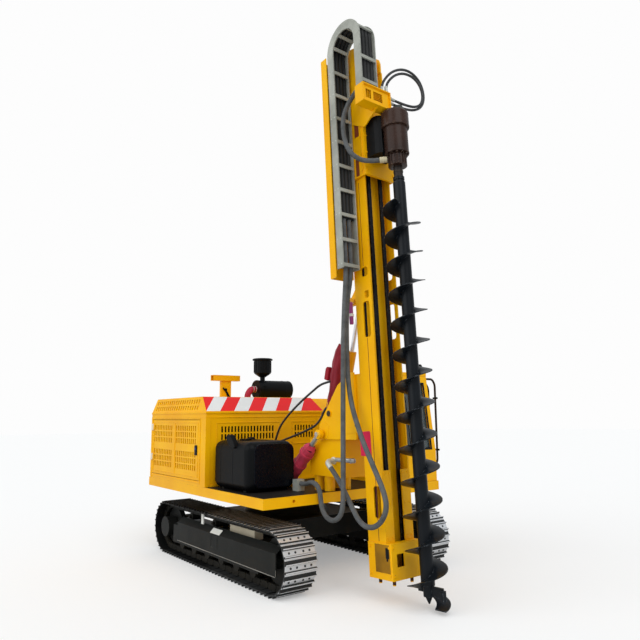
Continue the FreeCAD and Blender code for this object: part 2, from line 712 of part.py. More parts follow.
door_skin = cuboid("hood_door_skin", s.door_rear + s.door_gap, s.door_front - s.door_gap,
                   hood_right, hood_right + s.hood_wall, s.door_low + s.door_gap,
                   s.door_high - s.door_gap)
door_slots = slots("door_slot", "y", hood_right - 1, hood_right + s.hood_wall + 1,
                   (s.door_rear + 60, s.door_rear + 724),
                   [low + s.louvre_rise * row for low in (s.louvre_low, s.louvre_high)
                    for row in range(3)],
                   s.louvre_width, s.louvre_height, s.louvre_pitch, (11, 11))
keep("hood_door", fuse("hood_door_all", [cut("hood_door_panel", door_skin, door_slots)]
                       + hinges("hood_hinge", s.door_rear + s.door_gap / 2, hood_right, -1,
                                (1130, 1500))))

# ---- mast rest on the hood ----
rest_y0 = s.rest_centre - s.rest_length / 2
rest_y1 = s.rest_centre + s.rest_length / 2
rest_x0 = s.rest_reach - s.rest_depth / 2
rest_x1 = s.rest_reach + s.rest_depth / 2
rest_hollow = cuboid("rest_hollow", rest_x0 + 6, rest_x1 - 6, rest_y0 - 1, rest_y1 + 1,
                     s.rest_low + 6, s.rest_top - 6)
rest_bar = cut("rest_bar_all", cuboid("rest_bar", rest_x0, rest_x1, rest_y0, rest_y1,
                                      s.rest_low, s.rest_top), [rest_hollow])
keep("mast_rest", fuse("mast_rest_all", [
    rest_bar,
    cuboid("rest_post", s.rest_reach - 25, s.rest_reach + 25, s.rest_centre - s.rest_post / 2,
           s.rest_centre + s.rest_post / 2, s.hood_top, s.rest_low)]))

# ---- air cleaner, pre-cleaner and intake hose ----
filter_height = s.hood_top + s.filter_gap + s.filter_radius
barrel = rod("filter_barrel", "y", s.filter_radius, s.filter_right, s.filter_left,
             s.filter_reach, filter_height)
feet = [cuboid(f"filter_foot_{i}", s.filter_reach - 60, s.filter_reach + 60, near, near + 40,
               s.hood_top, filter_height - s.filter_radius + 20)
        for i, near in enumerate((s.filter_right + 60, s.filter_left - 260))]
keep("air_cleaner", fuse("air_cleaner_all", [barrel] + feet))
neck_low = filter_height + s.filter_radius
bowl_low = neck_low + 40
bowl = turned("pre_cleaner_bowl", [
    (0, neck_low - 4), (34, neck_low - 4), (34, bowl_low), (s.bowl_radius - 22, bowl_low + 40),
    (s.bowl_radius, bowl_low + 60), (s.bowl_radius, s.bowl_top - 34),
    (s.bowl_lip, s.bowl_top - 24), (s.bowl_lip, s.bowl_top - 6), (s.bowl_lip - 14, s.bowl_top),
    (0, s.bowl_top)], "z", s.filter_reach, s.bowl_centre)
keep("pre_cleaner", cut("pre_cleaner_all", bowl, [
    rod("bowl_saddle", "y", s.filter_radius + s.seat_gap, s.filter_right, s.filter_left,
        s.filter_reach, filter_height)]))


def bent_tube(points, radius, report=""):
    """A tube of straight runs and tangent arcs, each arc as large as its runs allow."""
    edges = []
    start = points[0]
    for before, corner, after in zip(points, points[1:], points[2:]):
        back, ahead = (before - corner), (after - corner)
        shorter = min(back.Length, ahead.Length)
        back.normalize()
        ahead.normalize()
        half_turn = (math.pi - back.getAngle(ahead)) / 2
        bend = 0.45 * shorter / math.tan(half_turn)
        reach = 0.45 * shorter
        enter, leave = corner + back * reach, corner + ahead * reach
        inward = back + ahead
        inward.normalize()
        middle = corner + inward * (bend / math.cos(half_turn) - bend)
        if start.distanceToPoint(enter) > 1e-6:
            edges.append(Part.LineSegment(start, enter).toShape())
        edges.append(Part.Arc(enter, middle, leave).toShape())
        if report:
            print(f"{report}: bend radius {bend:.0f} mm, {bend / (2 * radius):.1f} diameters")
        start = leave
    edges.append(Part.LineSegment(start, points[-1]).toShape())
    spine = Part.Wire(edges)
    first = points[1] - points[0]
    section = Part.Wire(Part.Circle(points[0], first, float(radius)).toShape())
    tube = spine.makePipeShell([section], True, True)
    wanted = math.pi * float(radius) ** 2 * spine.Length
    if abs(tube.Volume - wanted) > 0.01 * wanted:
        raise ValueError(f"tube volume {tube.Volume:.0f} is not {wanted:.0f}")
    return tube


filter_face = s.filter_right
keep("intake_hose", made("intake_hose_all", bent_tube([
    V(s.filter_reach, filter_face, filter_height), V(s.filter_reach, filter_face - 80, filter_height),
    V(s.filter_reach, filter_face - 130, s.hood_top + 62),
    V(s.filter_reach, filter_face - 130, s.hood_top)], s.intake_radius)))

# ---- deck tank on feet, with its carrying handle and filler ----
def soft_box(name, x0, x1, y0, y1, z0, z1, radius, axis):
    """A box with the long edges along one axis rounded."""
    box = Part.makeBox(x1 - x0, y1 - y0, z1 - z0, V(x0, y0, z0))
    along = {"x": V(1, 0, 0), "y": V(0, 1, 0), "z": V(0, 0, 1)}[axis]
    edges = [e for e in box.Edges
             if abs((e.Vertexes[1].Point - e.Vertexes[0].Point).normalize().dot(along)) > 0.99]
    return made(name, box.makeFillet(float(radius), edges))


tank_low = s.deck_top + s.tank_gap
tank_split = s.tank_front - 330
tank_parts = [
    soft_box("tank_drum", s.tank_rear, tank_split + 90, s.tank_right, s.tank_left,
             tank_low, s.tank_top, s.tank_round, "y"),
    soft_box("tank_box", tank_split, s.tank_front, s.tank_right - 8, s.tank_left + 8,
             tank_low, s.tank_top + 12, s.tank_round / 4, "z")]
for i, near in enumerate((s.tank_rear + 130, s.tank_front - 190)):
    tank_parts.append(cuboid(f"tank_foot_{i}", near, near + 60, s.tank_right + 20, s.tank_left - 20,
                             s.deck_top, tank_low + 2))
tank_parts.append(cuboid("tank_handle", s.tank_rear + 200, s.tank_rear + 240, s.tank_right + 140,
                         s.tank_right + 280, s.tank_top - 5, s.tank_top + 46))
keep("deck_tank", fuse("deck_tank_all", tank_parts))

# ---- cab: a hollow shell with cut windows, a door on its left ----
def cab_side(skin, low):
    """The cab's outline seen from the side, taken in by a skin thickness."""
    return [(s.cab_rear + skin, low), (s.cab_front - skin, low),
            (s.cab_front - skin, s.cab_knee), (s.cab_brow - skin, s.cab_top - skin),
            (s.cab_rear + skin, s.cab_top - skin)]


cab_outer = plate("cab_outer", "xz", cab_side(0, s.deck_top), s.cab_right, s.cab_left)
cab_inner = plate("cab_inner", "xz", cab_side(s.cab_wall, s.deck_top + 30),
                  s.cab_right + s.cab_wall, s.cab_left - s.cab_wall)
window_low = s.cab_knee + 40
window_high = s.cab_top - 130
door_front_x = s.cab_front - 370
side_glass_front = s.cab_brow - 160
corner_glass_front = s.cab_brow - 110
door_rear_x = s.cab_rear + 60
pillar = 70
cab_holes = [
    cuboid("cab_door_hole", door_rear_x, door_front_x, s.cab_left - s.cab_wall - 1,
           s.cab_left + 1, s.deck_top + 30, window_high + 40),
    cuboid("front_window_hole", s.cab_brow - 160, s.cab_front + 1, s.cab_right + pillar,
           s.cab_left - pillar, window_low, window_high),
    cuboid("rear_window_hole", s.cab_rear - 1, s.cab_rear + s.cab_wall + 1, s.cab_right + pillar,
           s.cab_left - pillar, window_low + 300, window_high),
    cuboid("right_window_hole", s.cab_rear + pillar, side_glass_front, s.cab_right - 1,
           s.cab_right + s.cab_wall + 1, window_low + 120, window_high),
    cuboid("left_window_hole", door_front_x + pillar, corner_glass_front, s.cab_left - s.cab_wall - 1,
           s.cab_left + 1, window_low, window_high)]
keep("cab_shell", cut("cab_shell_all", cab_outer, [cab_inner] + cab_holes))

lean_share = (s.cab_front - s.cab_brow) / (s.cab_top - s.cab_knee)
glass_in = 18


def slope_x(height, inset):
    """The cab front at a height, taken in along X."""
    return s.cab_front - (height - s.cab_knee) * float(lean_share) - inset


g = s.glass_gap
front_glass = plate("front_glass", "xz", [
    (slope_x(window_low + g, glass_in + s.glass_thick), window_low + g),
    (slope_x(window_low + g, glass_in), window_low + g),
    (slope_x(window_high - g, glass_in), window_high - g),
    (slope_x(window_high - g, glass_in + s.glass_thick), window_high - g)],
    s.cab_right + pillar + g, s.cab_left - pillar - g)
keep("cab_glass", gather("cab_glass_all", [
    front_glass,
    cuboid("rear_glass", s.cab_rear + glass_in, s.cab_rear + glass_in + s.glass_thick,
           s.cab_right + pillar + g, s.cab_left - pillar - g, window_low + 300 + g, window_high - g),
    cuboid("right_glass", s.cab_rear + pillar + g, side_glass_front - g, s.cab_right + glass_in,
           s.cab_right + glass_in + s.glass_thick, window_low + 120 + g, window_high - g),
    cuboid("left_glass", door_front_x + pillar + g, corner_glass_front - g,
           s.cab_left - glass_in - s.glass_thick, s.cab_left - glass_in,
           window_low + g, window_high - g)]))
seat_x = s.cab_rear + 200
seat_y = (s.cab_right + s.cab_left) / 2
cushion_low = s.deck_top + 280
cushion_top = cushion_low + 120
keep("cab_seat", fuse("cab_seat_all", [
    cuboid("seat_base", seat_x, seat_x + 320, seat_y - 160, seat_y + 160, s.deck_top + 30,
           cushion_low),
    cuboid("seat_cushion", seat_x - 60, seat_x + 420, seat_y - 240, seat_y + 240, cushion_low,
           cushion_top),
    cuboid("seat_back", seat_x - 110, seat_x + 20, seat_y - 230, seat_y + 230, cushion_top - 10,
           cushion_top + 560)]))

# ---- cab door and its glass ----
gap = s.door_gap
door_x0, door_x1 = door_rear_x + gap, door_front_x - gap
door_y0, door_y1 = s.cab_left - s.cab_wall, s.cab_left
door_top = window_high + 40 - gap
door_window = (door_x0 + 70, door_x1 - 70, window_low, window_high - 30)
cab_panel = cut("cab_door_panel",
                cuboid("cab_door_skin", door_x0, door_x1, door_y0, door_y1,
                       s.deck_top + 30 + gap, door_top),
                [cuboid("cab_door_window", door_window[0], door_window[1], door_y0 - 1,
                        door_y1 + 1, door_window[2], door_window[3])])
keep("cab_door", fuse("cab_door_all", [cab_panel] + hinges(
    "cab_hinge", door_rear_x + gap / 2, s.cab_left, 1, (1080, 1780))))
keep("cab_door_glass", cuboid("cab_door_glass_all", door_window[0] + g, door_window[1] - g,
                              door_y1 - glass_in - s.glass_thick, door_y1 - glass_in,
                              door_window[2] + g, door_window[3] - g))

# ---- handrails at the cab's front left pillar, and the lamp ----
rail_radius = 13


def rail(name, reach, outward, low, high):
    """A closed bow of tube standing out from the cab's left side."""
    wall = s.cab_left
    bow = bent_tube([V(reach, wall, low), V(reach, wall + outward - 45, low),
                     V(reach, wall + outward, low + 60), V(reach, wall + outward, high - 60),
                     V(reach, wall + outward - 45, high), V(reach, wall, high)], rail_radius)
    return made(name, bow)


keep("cab_handrails", gather("cab_handrails_all", [
    rail("outer_rail", s.cab_brow - 15, 175, s.deck_top + 150, s.cab_top - 70),
    rail("inner_rail", s.cab_brow - 60, 105, s.deck_top + 220, s.cab_top - 120)]))
lamp_x = s.cab_brow - 60
lamp_y = s.cab_left - 65
keep("cab_lamp", fuse("cab_lamp_all", [
    cuboid("lamp_stalk", lamp_x - 10, lamp_x + 10, lamp_y - 10, lamp_y + 10, s.cab_top,
           s.cab_top + 40),
    rod("lamp_body", "x", 38, lamp_x - 20, lamp_x + 40, lamp_y, s.cab_top + 70)]))

# ---- mast support on its posts, with the pivot lugs and pin ----
m = s.mast_side
support_box = cuboid("support_box", s.turret_rear, s.turret_front, m - s.turret_half,
                     m + s.turret_half, s.turret_low, s.turret_top)
support_parts = [support_box]
post_radius = 55
for i, (reach, side) in enumerate(((s.turret_rear + 70, -1), (s.turret_rear + 70, 1),
                                   (s.turret_front - 290, -1), (s.turret_front - 290, 1))):
    support_parts.append(rod(f"support_post_{i}", "z", post_radius, s.deck_top, s.turret_low + 1,
                             reach, m + side * 105))
for label, side in SIDES.items():
    y0 = m + side * (s.turret_half - s.lug_thick / 2) - s.lug_thick / 2
    support_parts.append(plate(f"pivot_lug_{label}", "xz", [
        (s.pivot_reach - s.lug_half, s.turret_top - 1), (s.pivot_reach + s.lug_half + 40, s.turret_top - 1),
        (s.pivot_reach + s.lug_half, s.pivot_height), (s.pivot_reach - s.lug_half, s.pivot_height)],
        y0, y0 + s.lug_thick))
    support_parts.append(rod(f"pivot_lug_end_{label}", "y", s.lug_half, y0, y0 + s.lug_thick,
                             s.pivot_reach, s.pivot_height))
plate_inner = s.turret_half + s.side_gap
plate_outer = plate_inner + s.plate_thick
support_parts.append(rod("pivot_pin", "y", s.pin_radius, m - plate_outer - 14, m + plate_outer + 14,
                         s.pivot_reach, s.pivot_height))
ear_sets = []
ear = 20
ear_gap = s.tilt_eye * 0.5 + s.side_gap
for label, side in SIDES.items():
    foot_y = m + side * s.tilt_offset
    ears = [cuboid(f"tilt_ear_{label}_{j}", s.tilt_base_reach - 38, s.tilt_base_reach + 38,
                   foot_y + away * (ear_gap + ear / 2) - ear / 2,
                   foot_y + away * (ear_gap + ear / 2) + ear / 2,
                   s.deck_top, s.tilt_base_height + 34) for j, away in enumerate((-1, 1))]
    ears.append(rod(f"tilt_foot_pin_{label}", "y", 24, foot_y - ear_gap - ear - 8,
                    foot_y + ear_gap + ear + 8, s.tilt_base_reach, s.tilt_base_height))
    ear_sets.append(fuse(f"tilt_foot_{label}", ears))
keep("mast_support", fuse("mast_support_all", support_parts))
keep("tilt_feet", gather("tilt_feet_pair", ear_sets))

# ---- mast bracket: two plates, a centre rib and the guide behind the mast ----
px, pz = s.pivot_reach, s.pivot_height
plates = []
pivot_bore = s.pin_radius + s.pin_fit
bracket_front = px + 480
keel_low = s.tilt_pin_height - 50
for label, side in SIDES.items():
    y0 = m + side * (plate_inner + s.plate_thick / 2) - s.plate_thick / 2
    plates.append(plate(f"bracket_plate_{label}", "xz", [
        (s.tilt_pin_reach - 62, keel_low), (px + 60, keel_low), (px + 400, s.guide_low - 40),
        (bracket_front, s.guide_low - 10), (bracket_front, s.guide_high + 20),
        (px + 320, s.guide_high + 20), (px + 130, pz + 277),
        (s.tilt_pin_reach - 62, s.tilt_pin_height + 90)],
        y0, y0 + s.plate_thick, holes=[(px, pz, pivot_bore)]))
rib_low = s.guide_low + 30
rib = plate("bracket_rib", "xz", [
    (s.shift_base_reach - 45, s.shift_base_height - 45), (px + 10, rib_low),
    (bracket_front, rib_low), (bracket_front, s.guide_high), (px + 280, s.guide_high),
    (px + 40, pz + 130), (s.shift_base_reach - 45, s.shift_base_height + 45)],
    m - s.rib_half, m + s.rib_half, holes=[(px, pz, pivot_bore),
                                           (s.shift_base_reach, s.shift_base_height, 24)])
tie = cuboid("bracket_tie", px + 300, bracket_front, m - plate_inner, m + plate_inner,
             rib_low, s.guide_high)
shift_pin = rod("shift_pin", "y", 24, m - s.shift_offset - 40, m + s.shift_offset + 40,
                s.shift_base_reach, s.shift_base_height)
mast_room = to_mast(gather("mast_room", [
    cuboid("mast_room_box", -s.guide_back, s.mast_depth, -plate_outer * 2, plate_outer * 2,
           0, s.guide_high * 2)]))
keep("bracket_plates", cut("bracket_plates_all",
                           fuse("bracket_solid", plates + [rib, tie, shift_pin]), [mast_room]))

# the guide runs on a T-shaped rail down the mast's rear; both are drawn in the mast's own frame
def rail_bars(name, spread, low, high):
    """The T rail as two boxes, spread outward by a clearance."""
    neck = s.rail_thick - spread
    return [cuboid(f"{name}_neck", -neck - 1, 0, -s.stem_half - spread, s.stem_half + spread,
                   low, high),
            cuboid(f"{name}_head", -2 * s.rail_thick - spread, -neck, -s.head_half - spread,
                   s.head_half + spread, low, high)]


guide_block = cuboid("guide_block", -s.guide_back, -s.seat_gap, -s.guide_half, s.guide_half,
                     s.guide_low, s.guide_high)
keep("mast_guide", cut("mast_guide_all", guide_block,
                       rail_bars("guide_way", s.seat_gap, s.guide_low - 1, s.guide_high + 1)),
     on_mast=True)


# ---- cylinders, each drawn along +Z from its foot pin and then turned ----
def barrel_solid(name, radius, length, eye, across, bore):
    """A cylinder barrel with its foot eye, open at the top for the rod."""
    neck = across / 2 - 2
    body = fuse(name + "_body", [
        rod(name + "_eye", "y", eye, -across / 2, across / 2, 0, 0),
        rod(name + "_neck", "z", neck, eye * 0.6, 100, 0, 0),
        cone(name + "_foot", "z", neck, radius, 100, 160, 0, 0),
        rod(name + "_tube", "z", radius, 160, length, 0, 0)])
    return cut(name, body, [rod(name + "_bore", "z", bore, 200, length + 1, 0, 0),
                            rod(name + "_pin_bore", "y", 24 + s.pin_fit, -across, across, 0, 0)])


def rod_solid(name, radius, start, length, eye, across, stub):
    """A cylinder rod from inside its barrel to its eye, with the pin stub."""
    parts = [rod(name + "_bar", "z", radius, start, length - eye * 0.6, 0, 0),
             rod(name + "_eye", "y", eye, -across / 2, across / 2, 0, length)]
    parts.append(rod(name + "_stub", "y", 24, -across / 2 - stub, across / 2 + stub, 0, length))
    return fuse(name, parts)


def aim(thing, foot, head, offset):
    """Turns a part drawn along +Z so that it points from one pin to the other."""
    way = V(head[0] - foot[0], 0, head[1] - foot[1])
    lean = math.degrees(math.atan2(way.x, way.z))
    thing.Placement = FreeCAD.Placement(V(foot[0], m + offset, foot[1]), Turn(V(0, 1, 0), lean))
    return thing


def span(foot, head):
    return math.hypot(head[0] - foot[0], head[1] - foot[1])


tilt_foot = (s.tilt_base_reach, s.tilt_base_height)
tilt_head = (s.tilt_pin_reach, s.tilt_pin_height)
lean = math.radians(s.mast_lean)
shift_foot = (s.shift_base_reach, s.shift_base_height)
shift_head = (s.mast_reach - s.shift_lug_back * math.cos(lean) - s.shift_lug_up * math.sin(lean),
              s.shift_lug_up * math.cos(lean) - s.shift_lug_back * math.sin(lean))
tilt_span = span(tilt_foot, tilt_head)
shift_span = span(shift_foot, shift_head)
tilt_barrels, tilt_rods, shift_barrels, shift_rods = [], [], [], []
for label, side in SIDES.items():
    tilt_barrels.append(aim(barrel_solid(f"tilt_barrel_{label}", s.tilt_barrel, s.tilt_barrel_length,
                                         s.tilt_eye, s.tilt_eye, s.tilt_rod + 0.5),
                            tilt_foot, tilt_head, side * s.tilt_offset))
    tilt_rods.append(aim(rod_solid(f"tilt_rod_{label}", s.tilt_rod, s.rod_start, tilt_span,
                                   s.tilt_eye, s.tilt_eye, 18),
                         tilt_foot, tilt_head, side * s.tilt_offset))
    shift_barrels.append(aim(barrel_solid(f"shift_barrel_{label}", s.shift_barrel,
                                          s.shift_barrel_length, s.shift_eye, 56, s.shift_rod + 0.5),
                             shift_foot, shift_head, side * s.shift_offset))
    shift_rods.append(aim(rod_solid(f"shift_rod_{label}", s.shift_rod, s.rod_start, shift_span,
                                    s.shift_eye, 40, 34),
                          shift_foot, shift_head, side * s.shift_offset))
keep("tilt_barrels", gather("tilt_barrels_all", tilt_barrels))
keep("tilt_rods", gather("tilt_rods_all", tilt_rods))
keep("slide_barrels", gather("slide_barrels_all", shift_barrels))
keep("slide_rods", gather("slide_rods_all", shift_rods))

# ---- mast: rear box, open front channel with cover plates, rear rail, cut side windows ----
half = s.mast_half
wall = s.channel_wall
beam_parts = [cuboid("beam_box", 0, s.mast_box, -half, half, s.mast_low, s.mast_high)]
for label, (y0, y1) in {"right": (-half, -half + wall), "left": (half - wall, half)}.items():
    beam_parts.append(cuboid(f"beam_wall_{label}", s.mast_box - 1, s.mast_depth, y0, y1,
                             s.mast_low, s.mast_high))
for label, (y0, y1) in {"right": (-half, -half + s.cover_width),
                        "left": (half - s.cover_width, half)}.items():
    beam_parts.append(cuboid(f"beam_cover_{label}", s.mast_depth - s.cover_thick, s.mast_depth,
                             y0, y1, s.mast_low, s.cover_high))
beam = fuse("mast_beam_solid", beam_parts + rail_bars("mast_rail", 0, s.rail_low, s.rail_high))
beam_cuts = [cuboid("beam_hollow", s.mast_wall, s.mast_box - s.mast_wall, -half + s.mast_wall,
                    half - s.mast_wall, s.mast_low - 1, s.mast_high + 1)]
slot_rear, slot_front = 105, 198
for i, (u0, low, high) in enumerate(((slot_rear, 725, 1010), (slot_rear, 2405, 2760),
                                     (slot_rear + 35, 2791, 2865), (slot_rear, 3012, 3105))):
    for label, y0 in {"right": -half - 1, "left": half - wall - 1}.items():
        beam_cuts.append(soft_box(f"beam_window_{label}_{i}", u0, slot_front, y0, y0 + wall + 2,
                                  low, high, (slot_front - u0) * 0.3, "y"))
keep("mast_beam", cut("mast_beam_all", beam, beam_cuts), on_mast=True)

crown = []
crown_rise = s.crown_high - s.mast_high
for label, (y0, y1) in {"right": (-half + 10, -half + 30), "left": (half - 30, half - 10)}.items():
    crown.append(plate(f"crown_cheek_{label}", "xz", [
        (10, s.mast_high), (s.mast_depth, s.mast_high), (s.mast_depth, s.mast_high + crown_rise / 2),
        (s.mast_depth - 18, s.crown_high - 50), (s.mast_depth - 60, s.crown_high - 14),
        (s.mast_depth / 2, s.crown_high), (60, s.crown_high - 14), (22, s.crown_high - 50),
        (10, s.mast_high + crown_rise / 2)], y0, y1))
crown_wheel_u = s.mast_depth / 2 + 40
crown_wheel_w = s.mast_high + 95
crown.append(rod("crown_shaft", "y", 25, -half + 20, half - 20, crown_wheel_u, crown_wheel_w))
crown.append(rod("crown_wheel", "y", 70, -100, 100, crown_wheel_u, crown_wheel_w))
keep("mast_crown", fuse("mast_crown_all", crown), on_mast=True)

casing_front = s.mast_depth + s.foot_front
casing_half = half + s.foot_skin
foot = [cuboid("foot_front", casing_front - s.foot_skin, casing_front, -casing_half, casing_half,
               s.mast_low - 20, s.foot_high),
        cuboid("foot_lid", s.mast_depth, casing_front, -casing_half, casing_half,
               s.foot_high - s.foot_skin, s.foot_high),
        cuboid("foot_sole", 0, casing_front, -casing_half, casing_half,
               s.mast_low - 20, s.mast_low)]
for label, (y0, y1) in {"right": (-casing_half, -half), "left": (half, casing_half)}.items():
    foot.append(cuboid(f"foot_side_{label}", 0, casing_front, y0, y1, s.mast_low - 20, s.foot_high))
foot_pocket = cuboid("foot_pocket", casing_front - s.foot_skin - 1, casing_front + 1,
                     -casing_half + 60, -casing_half + 150, s.foot_high - 200, s.foot_high - 90)
for i, (u, v) in enumerate(((60, -110), (240, -110), (60, 110), (240, 110))):
    foot.append(rod(f"spike_{i}", "z", s.spike_radius, s.mast_low - s.spike_length,
                    s.mast_low - 19, u, v))
keep("mast_foot", cut("mast_foot_all", fuse("mast_foot_solid", foot), [foot_pocket]), on_mast=True)

chain_front = s.mast_depth - s.chain_depth
chains = [cuboid(f"feed_chain_{label}", chain_front - s.chain_thick, chain_front,
                 side * s.chain_offset - s.chain_width / 2, side * s.chain_offset + s.chain_width / 2,
                 s.mast_low, s.mast_high) for label, side in SIDES.items()]
keep("feed_chains", gather("feed_chains_all", chains), on_mast=True)

lug_w = s.shift_lug_up
lug_u = -s.shift_lug_back
lug_parts = [cuboid("slide_lug_root", -2 * s.rail_thick, 0, -half + 20, half - 20,
                    lug_w - 60, lug_w + 320)]
lug_parts.append(plate("slide_lug_web", "xz", [
    (-20, lug_w - 50), (-20, lug_w + 300), (lug_u - 30, lug_w + 50), (lug_u - 40, lug_w - 40)],
    -16, 16))
keep("slide_lug", fuse("slide_lug_all", lug_parts), on_mast=True)

# ---- hose carrier: tray, rear leg with its bend, and the front leg on the carriage ----
c0, c1 = s.carrier_outer, s.carrier_inner
tray_front = s.carrier_rear - 8
arm_back, arm_front = s.tray_back + 10, s.tray_back + 22
tray = [cuboid("tray_back", s.tray_back, s.tray_back + s.tray_skin, c0 - 6, c1 - 6,
               s.tray_low, s.tray_high),
        cuboid("tray_outer", s.tray_back, tray_front, c0 - 6 - s.tray_skin, c0 - 6,
               s.tray_low, s.tray_high),
        cuboid("tray_inner", s.tray_back, tray_front, c1 - 6, c1 - 6 + s.tray_skin,
               s.tray_low, s.tray_high)]
for place_name, low in (("low", s.tray_low + 300), ("high", s.tray_high - 700)):
    tray.append(cuboid(f"tray_arm_{place_name}", arm_back, arm_front, c1, -half + 20,
                       low, low + 120))
    tray.append(cuboid(f"tray_foot_{place_name}", arm_back, 0, -half + 8, -half + 20,
                       low, low + 120))
keep("carrier_tray", fuse("carrier_tray_all", tray), on_mast=True)

u_rear = s.carrier_rear
u_front = s.carrier_front
bend_outer = (u_front - u_rear) / 2
bend_inner = bend_outer - s.link_height
bend_u = (u_front + u_rear) / 2


def leg(name, near, far, low, high):
    """A straight stretch of carrier: two side plates and its rungs."""
    parts = []
    for j, (y0, y1) in enumerate(((c0, c0 + s.link_skin), (c1 - s.link_skin, c1))):
        parts.append(cuboid(f"{name}_side_{j}", near, far, y0, y1, low, high))
    count = int((high - low - 30) / s.rung_pitch) + 1
    for i in range(count):
        height = low + 15 + s.rung_pitch * i
        for j, at in enumerate((near, far - s.rung_depth)):
            parts.append(cuboid(f"{name}_rung_{i}_{j}", at, at + s.rung_depth, c0 + 1, c1 - 1,
                                height, height + s.rung_height))
    return parts


def bend_plate(y0, y1):
    """A half ring of carrier side plate, above the legs."""
    outer = Part.makeCylinder(bend_outer, y1 - y0, V(bend_u, y0, s.bend_height), V(0, 1, 0))
    inner = Part.makeCylinder(bend_inner, y1 - y0 + 2, V(bend_u, y0 - 1, s.bend_height), V(0, 1, 0))
    upper = Part.makeBox(3 * bend_outer, y1 - y0, 2 * bend_outer,
                         V(bend_u - 1.5 * bend_outer, y0, s.bend_height))
    return outer.cut(inner).common(upper).Solids[0]


def bend_rungs():
    """Rungs round the bend, inside and outside edge."""
    rungs = []
    for i in range(4):
        angle = math.radians(180 - 22 - 45 * i)
        for radius in (bend_outer - s.rung_depth - 2, bend_inner + 3):
            bar = Part.makeBox(s.rung_depth, c1 - c0 - 2, s.rung_height,
                               V(radius, c0 + 1, -s.rung_height / 2))
            bar.rotate(V(), V(0, -1, 0), math.degrees(angle))
            bar.translate(V(bend_u, 0, s.bend_height))
            rungs.append(bar)
    return rungs


bend = bend_plate(c0, c0 + s.link_skin).multiFuse(
    [bend_plate(c1 - s.link_skin, c1)] + bend_rungs())
carrier_fixed = fuse("carrier_fixed_all",
                     leg("rear_leg", u_rear, u_rear + s.link_height, s.leg_low, s.bend_height)
                     + [made("carrier_bend", bend)])
keep("hose_carrier_fixed", carrier_fixed, on_mast=True)
keep("hose_carrier_moving", fuse("carrier_moving_all", leg(
    "front_leg", u_front - s.link_height, u_front, s.box_high, s.bend_height - s.seat_gap)),
    on_mast=True)


# four hoses lie side by side in the carrier; the two feed hoses take the lower leg's room
def carrier_hose(index):
    """One hose up the rear leg and round the bend."""
    across = (c0 + c1) / 2 + s.hose_pitch * (index - 1.5)
    middle_radius = bend_outer - s.link_height / 2
    rise = Part.makeCylinder(s.hose_radius, s.bend_height - s.bundle_low,
                             V(bend_u - middle_radius, across, s.bundle_low))
    ring = Part.makeTorus(middle_radius, s.hose_radius, V(bend_u, across, s.bend_height),
                          V(0, 1, 0))
    upper = Part.makeBox(3 * bend_outer, 3 * s.hose_radius, 2 * bend_outer,
                         V(bend_u - 1.5 * bend_outer, across - 1.5 * s.hose_radius, s.bend_height))
    return rise.fuse(ring.common(upper)).removeSplitter()


def moving_hose(index):
    """One hose down the front leg to the bracket box."""
    across = (c0 + c1) / 2 + s.hose_pitch * (index - 1.5)
    return rod(f"moving_hose_{index}", "z", s.hose_radius, s.box_high,
               s.bend_height - s.seat_gap, u_front - s.link_height / 2, across)


keep("carrier_hoses", gather("carrier_hoses_all", [made(f"carrier_hose_{i}", carrier_hose(i))
                                                   for i in range(4)]), on_mast=True)
keep("carrier_hoses_moving", gather("carrier_hoses_moving_all", [moving_hose(i)
                                                                 for i in range(4)]), on_mast=True)

# ---- carriage: cheeks round the mast, front plate, gearbox mount, bracket box ----
cheek_in = half + s.slide_gap
cheek_out = cheek_in + s.cheek_thick
face_u = s.mast_depth + s.face_gap
carriage = [cuboid("carriage_face", face_u, face_u + s.face_thick, -cheek_out, cheek_out,
                   s.carriage_low, s.carriage_high)]
for label, side in SIDES.items():
    y0, y1 = (cheek_in, cheek_out) if side > 0 else (-cheek_out, -cheek_in)
    carriage.append(plate(f"carriage_cheek_{label}", "xz", [
        (-s.cheek_back, s.carriage_low), (face_u + 1, s.carriage_low),
        (face_u + 1, s.carriage_high), (70, s.carriage_high), (14, s.carriage_high - 24),
        (-24, s.carriage_high - 64), (-s.cheek_back, s.carriage_high - 120)], y0, y1))
    for i, low in enumerate((s.carriage_low + 40, s.carriage_high - 160)):
        y0, y1 = (half + s.seat_gap, cheek_in + 1) if side > 0 else (-cheek_in - 1, -half - s.seat_gap)
        carriage.append(cuboid(f"carriage_pad_{label}_{i}", s.mast_box + 10, s.mast_depth - 20,
                               y0, y1, low, low + 120))
keep("carriage_frame", fuse("carriage_frame_all", carriage), on_mast=True)

# a black housing carries the gearbox on the front plate
mount_back = face_u + s.face_thick
mount_solid = plate("gearbox_mount_block", "xy", [
    (mount_back, 90), (mount_back, -165), (mount_back + 120, -165), (mount_back + 160, -150),
    (mount_back + 185, -118), (mount_back + 195, -70), (s.head_reach, -70), (s.head_reach, 90)],
    s.head_low + 30, s.head_high - 20)
mount_seat = rod("gearbox_seat", "z", s.cap_radius + s.seat_gap, s.head_low, s.head_high,
                 s.head_reach, 0)
keep("gearbox_mount", cut("gearbox_mount_all", mount_solid, [mount_seat]), on_mast=True)

